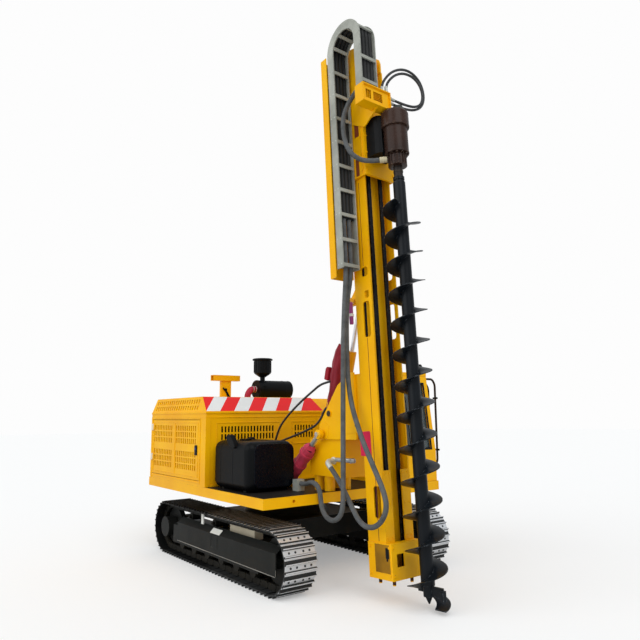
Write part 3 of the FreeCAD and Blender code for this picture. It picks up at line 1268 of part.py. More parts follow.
box_u0, box_u1 = u_front - 115, u_front
box_left = -40
plate_y = -cheek_out
arm_u = s.carrier_rear + s.link_height + 4 * s.side_gap
box_skin = 14
bracket = [
    cuboid("bracket_box", box_u0, box_u1, c0, box_left, s.box_low, s.box_high),
    plate("bracket_arm", "xz", [(arm_u, s.box_low - 20), (face_u + 60, s.box_low - 120),
                                (box_u1 - 20, s.box_low + 4), (box_u1 - 20, s.box_high),
                                (arm_u, s.box_high)], plate_y - box_skin, plate_y)]
dish_low, dish_high = s.box_low + 16, s.box_high - 16
vent_low, vent_high = s.box_low + 50, s.box_high - 50
bracket_windows = [cuboid("bracket_hollow", box_u0 + box_skin, box_u1 - 22, c0 + box_skin,
                          box_left - box_skin, s.box_low + box_skin, s.box_high - box_skin),
                   cuboid("bracket_dish", box_u1 - 12, box_u1 + 1, c0 + 16, box_left - 16,
                          dish_low, dish_high),
                   cuboid("bracket_window_a", box_u1 - 40, box_u1 + 1, c0 + 50, c0 + 120,
                          vent_low, vent_high),
                   cuboid("bracket_window_b", box_u1 - 40, box_u1 + 1, c0 + 150, c0 + 270,
                          vent_low, vent_high)]
keep("carrier_bracket", cut("carrier_bracket_all", fuse("carrier_bracket_solid", bracket),
                            bracket_windows), on_mast=True)

gearbox = turned("gearbox_body", [
    (0, s.collar_low), (s.collar_radius, s.collar_low), (s.collar_radius, s.head_low),
    (s.head_radius, s.head_low), (s.head_radius, s.head_belt), (s.cap_radius, s.head_belt),
    (s.cap_radius, s.head_high - 20), (s.cap_radius - 14, s.head_high), (0, s.head_high)],
    "z", s.head_reach, 0)
ferrule_w = s.collar_low + 90


def ferrule_rod(name, radius, start, length):
    """A rod that points at the auger axis from the right rear, level across the mast."""
    bar = Part.makeCylinder(radius, length, V(start[0], start[1], ferrule_w), V(1, 1, 0))
    return made(name, bar)


keep("gearbox", fuse("gearbox_all", [gearbox, ferrule_rod(
    "gearbox_port", s.port_radius, (478, -62), 60), ferrule_rod(
    "hose_ferrule", s.ferrule_radius, (416, -124), s.ferrule_length)]), on_mast=True)
motor_v = s.motor_offset
keep("drive_motor", fuse("drive_motor_all", [
    cone("motor_body", "z", s.motor_radius, s.motor_radius * 0.6, s.head_high + 12,
         s.head_high + s.motor_height, s.head_reach, motor_v),
    rod("motor_flange", "z", s.motor_radius, s.head_high, s.head_high + 14,
        s.head_reach, motor_v)]), on_mast=True)

# ---- auger: shaft coupling, socket, stem, right-handed flight, cutter ----
keep("drive_shaft", gather("drive_shaft_all", [
    rod("drive_shaft_bar", "z", s.shaft_radius, s.shaft_low, s.collar_low - s.seat_gap,
        s.head_reach, 0)]), on_mast=True)


def flight_shape():
    """A thin right-handed screw blade between the stem and the flight radius."""
    stem, radius = float(s.stem_radius + s.seat_gap), float(s.flight_radius)
    low, high, pitch = float(s.flight_low), float(s.flight_high), float(s.flight_pitch)
    helix = Part.makeLongHelix(pitch, high - low - s.flight_thick, stem, 0, False)
    thick = float(s.flight_thick)
    section = Part.makePolygon([V(stem, 0, 0), V(radius, 0, 2), V(radius, 0, thick - 2),
                                V(stem, 0, thick), V(stem, 0, 0)])
    blade = Part.Wire(helix.Edges).makePipeShell([section], True, True)
    blade.translate(V(0, 0, low))
    return blade


stem = Part.makeCylinder(s.stem_radius, s.flight_high + 30 - s.flight_low, V(0, 0, s.flight_low))
socket = Part.makeCylinder(s.socket_radius, s.shaft_low - s.flight_high - 29,
                           V(0, 0, s.flight_high + 29))
flange_thick = 30
flange = Part.makeCylinder(s.socket_radius + 8, flange_thick,
                           V(0, 0, s.shaft_low - flange_thick - 5))
cutter_low = s.flight_low - 89
cutter = Part.makeCylinder(s.stem_radius - 14, s.flight_low + 1 - cutter_low, V(0, 0, cutter_low))
pilot = Part.makeCone(6, 34, cutter_low + 1 - s.tip_low, V(0, 0, s.tip_low))
wing = Part.makeBox(s.flight_radius - 14, 24, s.flight_low - cutter_low - 8,
                    V(0, -12, cutter_low + 6))
tooth = Part.makeBox(34, 40, 90, V(s.flight_radius - 34, -20, cutter_low - 22))
heel = Part.makeBox(110, 24, 60, V(-110, -12, cutter_low + 30))
screw = stem
for piece in (socket, flange, cutter, pilot, wing, tooth, heel):
    screw = screw.fuse(piece)
auger_parts = [made("auger_stem", screw.Solids[0]), made("auger_flight", flight_shape())]
for part in auger_parts:
    part.Placement = FreeCAD.Placement(V(s.head_reach, 0, 0), Turn())
keep("auger", gather("auger_all", auger_parts), on_mast=True)


# ---- hoses: each a list of points chosen along its run ----
def in_mast(u, v, w):
    """A point of the mast's own frame, in the machine's frame."""
    return V(s.mast_reach + u * math.cos(lean) - w * math.sin(lean), m + v,
             u * math.sin(lean) + w * math.cos(lean))


def hose(name, points, radius):
    """A free hose, registered under its name, with its length printed."""
    tube = bent_tube(points, radius, name)
    keep(name, made(name + "_all", tube))
    print(f"{name}: {tube.Volume / (math.pi * float(radius) ** 2):.0f} mm long")


feed_y = m + s.feed_side
return_y = m + s.return_side
rack_u = s.carrier_rear + s.link_height / 2
rack_top = s.bundle_low - s.seat_gap
fitting_radius = s.feed_radius + 3
elbow_end = V(1431, feed_y, 1152)
elbow_way = V(-74, 0, 62).normalize()
elbow_corner = elbow_end + elbow_way * 90
block_front = 1010
block_height = 975
keep("hydraulic_fittings", gather("hydraulic_fittings_all", [
    made("turret_elbow", bent_tube([V(elbow_corner.x, m - s.turret_half, elbow_corner.z),
                                    elbow_corner, elbow_end], fitting_radius)),
    cuboid("return_block", block_front - 85, block_front, return_y - 45, return_y + 45,
           s.deck_top, block_height + 40)]))

hose("feed_hose", [in_mast(rack_u - 1, s.feed_side, rack_top),
                   in_mast(rack_u + 1, s.feed_side, 3320), in_mast(rack_u - 4, s.feed_side, 3040)]
     + [V(x, feed_y, z) for x, z in (
         (1715, 2760), (1700, 2360), (1722, 1850), (1885, 1470), (2060, 1190), (2180, 1000),
         (2217, 862), (2150, 737), (2015, 657), (1855, 680), (1730, 830), (1613, 977),
         (1505, 1090))] + [elbow_end], s.feed_radius)
hose("return_hose", [in_mast(rack_u - 1, s.return_side, rack_top),
                     in_mast(rack_u + 1, s.return_side, 3320),
                     in_mast(rack_u - 3, s.return_side, 3040)]
     + [V(x, return_y, z) for x, z in (
         (1760, 2760), (1732, 2370), (1715, 1840), (1705, 1360), (1700, 1080), (1696, 930),
         (1690, 842), (1667, 756), (1604, 693), (1518, 670), (1432, 693), (1369, 756), (1346, 842),
         (1335, 928), (1278, 990), (1190, 1005), (1100, block_height),
         (block_front, block_height))], s.return_radius)
line_y = m - 190
hose("slide_hose_upper", [V(x, line_y, z) for x, z in (
    (s.hood_front, 1300), (190, 1300), (285, 1365), (335, 1465), (405, 1560), (560, 1675),
    (800, 1815), (1030, 1925), (1140, 1978))]
     + [V(1220, line_y + 25, 2004), V(1255.4, line_y + 59.6, 2014.3)], s.line_radius)
line_y = m - 155
hose("slide_hose_lower", [V(x, line_y, z) for x, z in (
    (s.hood_front, 1342), (240, 1342), (400, 1390), (620, 1441), (860, 1505), (1030, 1560),
    (1125, 1640), (1166, 1708))] + [V(1187, line_y + 17.8, 1744.7)], s.line_radius)
box_top = s.box_high
hose("motor_hose_outer", [in_mast(u, v, w) for u, v, w in (
    (490, -100, box_top), (490, -100, 4945), (497, -45, 5045), (510, 50, 5150), (530, 180, 5215),
    (545, 315, 5210), (555, 420, 5125), (560, 455, 4975), (555, 415, 4845), (540, 315, 4775),
    (520, 190, 4757), (500, 60, 4770), (500, box_left, 4770))], s.motor_hose)
hose("motor_hose_inner", [in_mast(u, v, w) for u, v, w in (
    (515, -65, box_top), (515, -65, 4935), (520, -12, 5025), (532, 75, 5110), (545, 190, 5160),
    (558, 310, 5150), (568, 395, 5075), (572, 420, 4955), (565, 385, 4850), (553, 300, 4800),
    (540, 180, 4790), (525, 60, 4800), (525, box_left, 4800))], s.motor_hose)
hose_front = u_front - s.link_height / 2 - s.hose_radius - s.seat_gap
hose("head_hose", [in_mast(u, v, w) for u, v, w in (
    (hose_front, -287, 4932), (372, -287, 4932), (283, -305, 4868), (222, -343, 4770),
    (185, -375, 4640), (182, -380, 4490), (202, -370, 4350), (238, -342, 4240), (290, -275, 4168),
    (352, -188, ferrule_w), (416, -124, ferrule_w))], s.head_hose)

# ---- check every object, then write one file a sub-part ----
doc.recompute()
for thing in doc.Objects:
    if "Invalid" in thing.State or "Error" in thing.State:
        raise ValueError(f"{thing.Name} failed: {thing.State}")
os.makedirs("parts", exist_ok=True)
for name, thing in nodes.items():
    if thing.Shape.isNull() or not thing.Shape.isValid() or not thing.Shape.Solids:
        raise ValueError(f"{name} has no valid solid")
for name, thing in nodes.items():
    thing.Shape.exportStep(f"parts/{name}.step")
print(len(nodes), "sub-parts written")
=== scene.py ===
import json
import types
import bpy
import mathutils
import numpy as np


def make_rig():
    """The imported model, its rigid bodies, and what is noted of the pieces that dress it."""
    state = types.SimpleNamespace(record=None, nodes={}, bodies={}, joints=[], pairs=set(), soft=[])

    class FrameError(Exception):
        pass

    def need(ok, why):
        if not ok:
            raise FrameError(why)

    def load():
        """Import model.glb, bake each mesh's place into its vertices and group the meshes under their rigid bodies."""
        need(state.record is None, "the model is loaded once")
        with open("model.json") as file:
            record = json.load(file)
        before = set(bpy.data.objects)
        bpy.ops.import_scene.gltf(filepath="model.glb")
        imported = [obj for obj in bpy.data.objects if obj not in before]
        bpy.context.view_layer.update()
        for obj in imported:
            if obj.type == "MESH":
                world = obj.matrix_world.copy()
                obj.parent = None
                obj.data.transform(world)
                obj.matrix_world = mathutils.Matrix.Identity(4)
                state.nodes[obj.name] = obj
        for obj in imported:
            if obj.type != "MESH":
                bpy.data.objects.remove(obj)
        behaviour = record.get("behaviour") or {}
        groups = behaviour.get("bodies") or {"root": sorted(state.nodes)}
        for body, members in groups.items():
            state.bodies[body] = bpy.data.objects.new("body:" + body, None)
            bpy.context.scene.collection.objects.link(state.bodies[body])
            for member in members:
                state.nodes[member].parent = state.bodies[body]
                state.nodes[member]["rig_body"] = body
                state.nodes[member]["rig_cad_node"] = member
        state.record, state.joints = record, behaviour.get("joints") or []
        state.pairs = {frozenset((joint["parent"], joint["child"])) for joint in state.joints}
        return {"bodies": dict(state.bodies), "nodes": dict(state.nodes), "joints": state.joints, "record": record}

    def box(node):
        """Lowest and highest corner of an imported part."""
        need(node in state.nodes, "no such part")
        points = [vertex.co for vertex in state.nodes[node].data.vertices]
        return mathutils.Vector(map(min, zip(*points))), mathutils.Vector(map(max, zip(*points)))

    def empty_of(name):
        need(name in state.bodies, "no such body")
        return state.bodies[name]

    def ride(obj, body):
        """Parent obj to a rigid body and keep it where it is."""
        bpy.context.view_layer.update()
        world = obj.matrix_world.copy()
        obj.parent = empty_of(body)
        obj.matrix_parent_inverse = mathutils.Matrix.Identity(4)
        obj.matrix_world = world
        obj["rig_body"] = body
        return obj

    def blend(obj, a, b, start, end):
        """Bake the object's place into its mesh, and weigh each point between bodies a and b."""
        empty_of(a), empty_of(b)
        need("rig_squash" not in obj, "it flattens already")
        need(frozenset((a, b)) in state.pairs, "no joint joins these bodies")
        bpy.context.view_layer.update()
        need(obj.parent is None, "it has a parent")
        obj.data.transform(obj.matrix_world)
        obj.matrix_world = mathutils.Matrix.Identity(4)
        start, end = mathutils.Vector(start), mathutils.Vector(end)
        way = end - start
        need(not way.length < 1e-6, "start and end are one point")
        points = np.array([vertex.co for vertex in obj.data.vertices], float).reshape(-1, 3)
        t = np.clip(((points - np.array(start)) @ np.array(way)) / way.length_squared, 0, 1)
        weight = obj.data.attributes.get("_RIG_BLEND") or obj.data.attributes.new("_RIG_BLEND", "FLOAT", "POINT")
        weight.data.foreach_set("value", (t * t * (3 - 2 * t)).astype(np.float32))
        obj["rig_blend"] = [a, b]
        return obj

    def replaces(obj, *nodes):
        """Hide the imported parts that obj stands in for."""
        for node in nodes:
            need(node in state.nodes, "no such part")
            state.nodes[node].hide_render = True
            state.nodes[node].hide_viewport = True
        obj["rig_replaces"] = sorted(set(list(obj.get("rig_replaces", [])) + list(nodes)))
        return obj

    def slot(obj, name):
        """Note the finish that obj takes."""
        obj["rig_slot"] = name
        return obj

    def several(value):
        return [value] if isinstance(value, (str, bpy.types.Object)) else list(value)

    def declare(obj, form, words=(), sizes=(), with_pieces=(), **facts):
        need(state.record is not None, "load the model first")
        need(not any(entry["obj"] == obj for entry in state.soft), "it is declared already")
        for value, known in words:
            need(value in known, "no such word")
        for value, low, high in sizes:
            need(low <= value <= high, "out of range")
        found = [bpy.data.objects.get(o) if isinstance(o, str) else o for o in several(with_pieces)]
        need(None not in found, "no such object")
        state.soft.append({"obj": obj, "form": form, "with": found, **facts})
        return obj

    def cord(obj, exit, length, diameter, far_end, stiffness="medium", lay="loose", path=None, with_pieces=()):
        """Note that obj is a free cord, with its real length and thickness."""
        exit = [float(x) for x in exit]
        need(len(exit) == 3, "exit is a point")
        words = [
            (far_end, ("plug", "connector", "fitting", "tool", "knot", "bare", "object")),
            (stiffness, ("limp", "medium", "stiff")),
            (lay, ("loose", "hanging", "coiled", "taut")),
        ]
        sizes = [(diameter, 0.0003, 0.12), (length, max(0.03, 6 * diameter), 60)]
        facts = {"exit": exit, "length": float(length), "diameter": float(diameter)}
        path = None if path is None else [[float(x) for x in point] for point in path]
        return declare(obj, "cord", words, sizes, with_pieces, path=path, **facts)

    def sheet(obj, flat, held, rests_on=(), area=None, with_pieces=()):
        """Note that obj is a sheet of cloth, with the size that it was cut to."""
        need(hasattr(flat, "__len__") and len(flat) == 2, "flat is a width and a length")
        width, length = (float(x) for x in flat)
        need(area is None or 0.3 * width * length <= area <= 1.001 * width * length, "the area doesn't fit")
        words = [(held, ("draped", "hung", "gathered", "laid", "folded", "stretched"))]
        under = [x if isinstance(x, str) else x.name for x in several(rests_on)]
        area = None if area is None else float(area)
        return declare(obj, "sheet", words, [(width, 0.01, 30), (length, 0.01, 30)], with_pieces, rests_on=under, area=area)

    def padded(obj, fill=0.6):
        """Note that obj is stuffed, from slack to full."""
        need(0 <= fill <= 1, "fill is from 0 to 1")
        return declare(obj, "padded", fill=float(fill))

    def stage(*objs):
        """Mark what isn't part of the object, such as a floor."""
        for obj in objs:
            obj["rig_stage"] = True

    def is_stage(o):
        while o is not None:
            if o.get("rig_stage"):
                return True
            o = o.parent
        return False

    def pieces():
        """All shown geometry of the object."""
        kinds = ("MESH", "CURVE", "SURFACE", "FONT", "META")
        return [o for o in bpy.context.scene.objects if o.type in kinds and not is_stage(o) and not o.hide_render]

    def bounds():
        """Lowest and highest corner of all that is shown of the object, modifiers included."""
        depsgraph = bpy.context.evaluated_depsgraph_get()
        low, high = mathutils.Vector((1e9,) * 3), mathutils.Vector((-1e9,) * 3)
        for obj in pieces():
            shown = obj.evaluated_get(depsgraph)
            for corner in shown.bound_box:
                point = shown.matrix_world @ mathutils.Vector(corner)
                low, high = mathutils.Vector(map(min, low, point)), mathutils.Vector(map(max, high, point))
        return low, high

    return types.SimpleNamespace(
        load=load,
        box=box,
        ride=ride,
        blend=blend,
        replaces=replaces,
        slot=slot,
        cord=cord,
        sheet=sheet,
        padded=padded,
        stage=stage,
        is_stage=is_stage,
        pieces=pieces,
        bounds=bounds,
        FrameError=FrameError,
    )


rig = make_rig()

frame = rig.load()
import json
import math

import bmesh
import bpy
from mathutils import Matrix, Vector

cad_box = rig.bounds()

# ---- camera: a person's eye height, a few paces off the rig's front right corner ----
eye = Vector((6.1504, -4.2138, 1.6689))
heading, pitch, roll = (math.radians(a) for a in (52.752, 9.0965, -0.5476))
ahead = Vector((-math.sin(heading) * math.cos(pitch), math.cos(heading) * math.cos(pitch),
                math.sin(pitch)))
level = Vector((math.cos(heading), math.sin(heading), 0))
upright = level.cross(ahead)
right = math.cos(roll) * level + math.sin(roll) * upright
above = -math.sin(roll) * level + math.cos(roll) * upright
lens = bpy.data.cameras.new("camera")
lens.lens = 33.37
lens.sensor_width = 36
camera = bpy.data.objects.new("camera", lens)
turned = Matrix((right, above, -ahead)).transposed()
camera.matrix_world = Matrix.Translation(eye) @ turned.to_4x4()
bpy.context.scene.collection.objects.link(camera)
bpy.context.scene.camera = camera
bpy.context.scene.view_settings.view_transform = "Standard"


# ---- hydraulic hoses: the fat ones in a grey woven sleeve, the thin ones in black rubber ----
# The fat pair feeds the drilling head through the carrier, the thin ones serve the cylinder and
# the head's motor. Each is a plain tube that hangs in a free loop, its ends against solids.
def linear(code):
    """An sRGB hex colour as linear RGBA."""
    parts = [int(code[i:i + 2], 16) / 255 for i in (1, 3, 5)]
    return [c / 12.92 if c <= 0.04045 else ((c + 0.055) / 1.055) ** 2.4 for c in parts] + [1]


def add(tree, kind, inputs=None, **settings):
    """Adds one shader node; inputs hold plain values or the sockets that feed them."""
    made = tree.nodes.new("ShaderNode" + kind)
    for key, value in settings.items():
        setattr(made, key, value)
    for key, value in (inputs or {}).items():
        if isinstance(value, bpy.types.NodeSocket):
            tree.links.new(value, made.inputs[key])
        else:
            made.inputs[key].default_value = value
    return made


def surface(name, **inputs):
    """A material with one shader; its inputs are given by their names, _ for a space."""
    finish = bpy.data.materials.new(name)
    finish.use_nodes = True
    shader = finish.node_tree.nodes["Principled BSDF"]
    for key, value in inputs.items():
        shader.inputs[key.replace("_", " ")].default_value = value
    return finish, finish.node_tree, shader


def noise(tree, spot, scale, detail, rough=0.5):
    """Cloudy noise over a surface, from 0 to 1."""
    return add(tree, "TexNoise", {"Vector": spot, "Scale": scale, "Detail": detail,
                                  "Roughness": rough}).outputs["Fac"]


def reckon(tree, operation, *values):
    """The result of one operation on values or sockets."""
    return add(tree, "Math", dict(enumerate(values)), operation=operation).outputs[0]


def spread(tree, value, low=0.0, high=1.0, start=0.0, end=1.0):
    """A value between low and high, laid over the range from start to end."""
    return add(tree, "MapRange", {0: value, 1: low, 2: high, 3: start, 4: end}).outputs[0]


def tint(tree, share, one, two):
    """A colour between two, each an sRGB code or a socket."""
    one, two = (linear(c) if isinstance(c, str) else c for c in (one, two))
    return add(tree, "Mix", {0: share, 6: one, 7: two}, data_type="RGBA").outputs[2]


def wire(tree, shader, **sockets):
    """Feeds the shader's inputs, given by their names, _ for a space."""
    for key, socket in sockets.items():
        tree.links.new(socket, shader.inputs[key.replace("_", " ")])


def emboss(tree, shader, height, strength, depth):
    """Raises a surface by a height between 0 and 1."""
    wire(tree, shader, Normal=add(tree, "Bump", {"Height": height, "Strength": strength,
                                                 "Distance": depth}).outputs[0])


def woven(name, dark, pale, thread, gloss):
    """Nylon braid over rubber: two bands of thread cross at an angle; its colour is darker between the threads,
    painted shade, and paler on the crests in dusty patches.
    The threads are drawn about three times as coarse as real ones so that they show."""
    finish, tree, shader = surface(name, Roughness=gloss)
    lay = add(tree, "UVMap", uv_map="lay").outputs[0]
    flat = add(tree, "SeparateXYZ", {0: lay}).outputs
    bands = []
    for sign in (1, -1):
        slant = reckon(tree, "MULTIPLY_ADD", flat["Y"], sign, flat["X"])
        bands.append(reckon(tree, "SINE", reckon(tree, "MULTIPLY", slant, 2 * math.pi / thread)))
    raised = spread(tree, reckon(tree, "MULTIPLY", *bands), -1.0, 1.0)
    # Painted shade: the colour follows the weave, darker between the threads; noise lays dusty patches on the crests.
    weave_shade_and_dust = reckon(tree, "MULTIPLY", raised, noise(tree, lay, 11.0, 5.0, 0.65))
    wire(tree, shader, Base_Color=tint(tree, spread(tree, weave_shade_and_dust, 0.05, 0.55), dark, pale))
    emboss(tree, shader, raised, 0.7, 0.0015)
    return finish


# Grey braid of the fat hoses: bleached by the sun, dusty, matt.
grey_braid = woven("grey_nylon_braid", "#2C2F30", "#7C7F80", 0.016, 0.85)
# Black rubber cover of the thin hoses: smooth and slightly oily, wrapped cloth showing as a weave.
black_cover = woven("black_rubber_cover", "#121415", "#45484A", 0.006, 0.42)


def nurbs_line(points):
    """The smooth line that a route's points steer, as points along it."""
    curve = bpy.data.curves.new("route", "CURVE")
    curve.dimensions = "3D"
    spline = curve.splines.new("NURBS")
    spline.points.add(len(points) - 1)
    for spot, at in zip(spline.points, points):
        spot.co = (*at, 1)
    spline.order_u = 3
    spline.use_endpoint_u = True
    spline.resolution_u = 12
    holder = bpy.data.objects.new("route", curve)
    line = bpy.data.meshes.new_from_object(holder)
    spots = [v.co.copy() for v in line.vertices]
    bpy.data.objects.remove(holder)
    bpy.data.curves.remove(curve)
    bpy.data.meshes.remove(line)
    return spots


def hose_tube(name, route, radius, finish, sides=20):
    """A round hose along a route; its map holds the metres along it and around it."""
    line = nurbs_line(route)
    mesh = bmesh.new()
    lay = mesh.loops.layers.uv.new("lay")
    side = (line[1] - line[0]).orthogonal().normalized()
    rings, along, last = [], [0.0], line[0]
    for i, spot in enumerate(line):
        ahead = (line[min(i + 1, len(line) - 1)] - line[max(i - 1, 0)]).normalized()
        side = (side - side.dot(ahead) * ahead).normalized()
        across = ahead.cross(side)
        rings.append([mesh.verts.new(spot + radius * (math.cos(a) * side + math.sin(a) * across))
                      for a in (2 * math.pi * k / sides for k in range(sides))])
        if i:
            along.append(along[-1] + (spot - last).length)
        last = spot
    around = 2 * math.pi * radius / sides
    for i in range(len(rings) - 1):
        for k in range(sides):
            j = (k + 1) % sides
            face = mesh.faces.new((rings[i][k], rings[i][j], rings[i + 1][j], rings[i + 1][k]))
            face.smooth = True
            for loop, (step, turn) in zip(face.loops, ((i, k), (i, k + 1), (i + 1, k + 1),
                                                       (i + 1, k))):
                loop[lay].uv = (along[step], turn * around)
    for ring in (rings[0][::-1], rings[-1]):
        mesh.faces.new(ring)
    bmesh.ops.recalc_face_normals(mesh, faces=mesh.faces)
    data = bpy.data.meshes.new(name)
    mesh.to_mesh(data)
    mesh.free()
    data.materials.append(finish)
    made = bpy.data.objects.new(name, data)
    bpy.context.scene.collection.objects.link(made)
    return made, line, along[-1]


lean = math.radians(3)
mast_root = Vector((1.8795, -0.23, 0))


def on_mast(u, v, w):
    """A place in the mast's own frame: ahead of its rear face, left of its middle, up along it."""
    return mast_root + Vector((u * math.cos(lean) - w * math.sin(lean), v,
                               u * math.sin(lean) + w * math.cos(lean)))


hose_routes = {
    "feed_hose": (0.024, [on_mast(0.075, -0.277, 3.5997), on_mast(0.077, -0.277, 3.32),
                          on_mast(0.072, -0.277, 3.04)] + [Vector((x, -0.507, z)) for x, z in (
        (1.715, 2.76), (1.7, 2.36), (1.722, 1.85), (1.885, 1.47), (2.06, 1.19),
        (2.18, 1.0), (2.217, 0.862), (2.15, 0.737), (2.015, 0.657), (1.855, 0.68),
        (1.73, 0.83), (1.613, 0.977), (1.505, 1.09), (1.431, 1.152))]),
    "return_hose": (0.024, [on_mast(0.075, -0.343, 3.5997), on_mast(0.077, -0.343, 3.32),
                            on_mast(0.072, -0.343, 3.04)] + [Vector((x, -0.573, z)) for x, z in (
        (1.76, 2.76), (1.732, 2.37), (1.715, 1.84), (1.705, 1.36), (1.7, 1.08),
        (1.696, 0.93), (1.69, 0.842), (1.667, 0.756), (1.604, 0.693), (1.518, 0.67),
        (1.432, 0.693), (1.369, 0.756), (1.346, 0.842), (1.335, 0.928), (1.278, 0.99),
        (1.19, 1.005), (1.1, 0.975), (1.01, 0.975))]),
    "slide_hose_upper": (0.012, [Vector(p) for p in (
        (0.09, -0.42, 1.3), (0.19, -0.42, 1.3), (0.285, -0.42, 1.365),
        (0.335, -0.42, 1.465), (0.405, -0.42, 1.56), (0.56, -0.42, 1.675),
        (0.8, -0.42, 1.815), (1.03, -0.42, 1.925), (1.14, -0.42, 1.978),
        (1.22, -0.395, 2.004), (1.2554, -0.3604, 2.0143))]),
    "slide_hose_lower": (0.012, [Vector(p) for p in (
        (0.09, -0.385, 1.342), (0.24, -0.385, 1.342), (0.4, -0.385, 1.39),
        (0.62, -0.385, 1.441), (0.86, -0.385, 1.505), (1.03, -0.385, 1.56),
        (1.125, -0.385, 1.64), (1.166, -0.385, 1.708), (1.187, -0.3672, 1.7447))]),
    "head_hose": (0.024, [on_mast(*p) for p in (
        (0.4767, -0.287, 4.932), (0.372, -0.287, 4.932), (0.283, -0.305, 4.868),
        (0.222, -0.343, 4.77), (0.185, -0.375, 4.64), (0.182, -0.38, 4.49),
        (0.202, -0.37, 4.35), (0.238, -0.342, 4.24), (0.29, -0.275, 4.168),
        (0.352, -0.188, 4.15), (0.416, -0.124, 4.15))]),
    "motor_hose_outer": (0.013, [on_mast(*p) for p in (
        (0.49, -0.1, 4.85), (0.49, -0.1, 4.945), (0.497, -0.045, 5.045),
        (0.51, 0.05, 5.15), (0.53, 0.18, 5.215), (0.545, 0.315, 5.21),
        (0.555, 0.42, 5.125), (0.56, 0.455, 4.975), (0.555, 0.415, 4.845),
        (0.54, 0.315, 4.775), (0.52, 0.19, 4.757), (0.5, 0.06, 4.77),
        (0.5, -0.04, 4.77))]),
    "motor_hose_inner": (0.013, [on_mast(*p) for p in (
        (0.515, -0.065, 4.85), (0.515, -0.065, 4.935), (0.52, -0.012, 5.025),
        (0.532, 0.075, 5.11), (0.545, 0.19, 5.16), (0.558, 0.31, 5.15),
        (0.568, 0.395, 5.075), (0.572, 0.42, 4.955), (0.565, 0.385, 4.85),
        (0.553, 0.3, 4.8), (0.54, 0.18, 4.79), (0.525, 0.06, 4.8),
        (0.525, -0.04, 4.8))])}
joint_low, joint_high = Vector((1.431, -0.5, 1.15)), Vector((1.7, -0.5, 2.4))
swing_near, swing_far = Vector((0.3, -0.4, 1.35)), Vector((1.15, -0.4, 1.8))
for name, (radius, route) in hose_routes.items():
    body = "carriage" if name[:4] in ("head", "moto") else "platform"
    tube, line, length = hose_tube(name + "_braid", route, radius,
                                   grey_braid if radius > 0.02 else black_cover)
    if name in ("feed_hose", "return_hose"):
        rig.blend(tube, "platform", "mast_bracket", joint_low, joint_high)
    elif body == "platform":
        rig.blend(tube, "platform", "mast_bracket", swing_near, swing_far)
    else:
        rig.ride(tube, body)
    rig.replaces(tube, name)
    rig.slot(tube, "hose_rubber")
    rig.cord(tube, exit=route[0], length=length, diameter=2 * radius, far_end="object",
            stiffness="limp", lay="hanging", path=line)


# ---- ground and light: a pale studio floor under a soft, even sky ----
floor_mesh = bmesh.new()
bmesh.ops.create_circle(floor_mesh, cap_ends=True, segments=96, radius=60)
floor_data = bpy.data.meshes.new("studio_floor")
floor_mesh.to_mesh(floor_data)
floor = bpy.data.objects.new("studio_floor", floor_data)
bpy.context.scene.collection.objects.link(floor)
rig.stage(floor)
floor_paper, tree, shader = surface("floor_paper", Roughness=1.0, Specular_IOR_Level=0.0,
                                    Base_Color=linear("#D9D9D8"),
                                    Emission_Color=linear("#FFFFFF"))
seen = add(tree, "LightPath").outputs["Is Camera Ray"]
wire(tree, shader, Emission_Strength=reckon(tree, "MULTIPLY", seen, 0.29))
floor_data.materials.append(floor_paper)

world = bpy.data.worlds.new("studio_sky")
bpy.context.scene.world = world
world.use_nodes = True
sky = world.node_tree
sky.nodes.clear()
rays = add(sky, "LightPath").outputs
direct = reckon(sky, "MAXIMUM", rays["Is Camera Ray"], rays["Is Transmission Ray"])
soft, white = (add(sky, "Background", {"Color": linear(code), "Strength": strength}).outputs[0]
               for code, strength in (("#F4F7FA", 0.62), ("#FDFDFD", 1.0)))
both = add(sky, "MixShader", {0: direct, 1: soft, 2: white})
add(sky, "OutputWorld", {"Surface": both.outputs[0]})


def lamp(name, strength, spread, aim_from):
    """A distant soft lamp that shines from a point toward the rig."""
    light = bpy.data.lights.new(name, "SUN")
    light.energy = strength
    light.angle = math.radians(spread)
    holder = bpy.data.objects.new(name, light)
    holder.rotation_euler = Vector(aim_from).to_track_quat("Z", "Y").to_euler()
    bpy.context.scene.collection.objects.link(holder)


lamp("front_lamp", 1.15, 50, (6, -1.5, 7))
lamp("side_lamp", 0.95, 60, (-1, -8, 4))

# ---- tracks: forged steel shoes bolted to two chains of dark links ----
# The ground polishes the bars of the shoes and the folds between them are oily. Painted light makes the steel brighter
# round the front of the loop and darker at its back, and the folds take a darker copy of it, painted shade.
track_reach, track_radius, track_width, track_middle, shoe_count = 1.21, 0.31, 0.36, 0.92, 48


def shoe_place(share):
    """A shoe's place along a track and how far it has turned round the loop."""
    straight, bend = 2 * track_reach, math.pi * track_radius
    way = share * 2 * (straight + bend)
    upper = way >= straight + bend
    way -= upper * (straight + bend)
    facing = -1 if upper else 1
    turned = max(way - straight, 0) / track_radius + upper * math.pi
    return facing * (min(way, straight) - straight / 2), turned


def prism(mesh, outline, axis, start, end):
    """Adds an outline drawn out along an axis; its points are in the other two axes' order."""
    def place(point, along):
        a, b = point
        return {"x": (along, a, b), "y": (a, along, b), "z": (a, b, along)}[axis]
    low = [mesh.verts.new(place(p, start)) for p in outline]
    high = [mesh.verts.new(place(p, end)) for p in outline]
    faces = [mesh.faces.new(low), mesh.faces.new(high[::-1])]
    for i in range(len(outline)):
        j = (i + 1) % len(outline)
        faces.append(mesh.faces.new((low[i], high[i], high[j], low[j])))
    bmesh.ops.recalc_face_normals(mesh, faces=faces)
    return low + high


def block(mesh, low, high):
    """Adds a six-sided block between two corners."""
    (x0, y0, z0), (x1, y1, z1) = low, high
    return prism(mesh, [(x0, y0), (x1, y0), (x1, y1), (x0, y1)], "z", z0, z1)


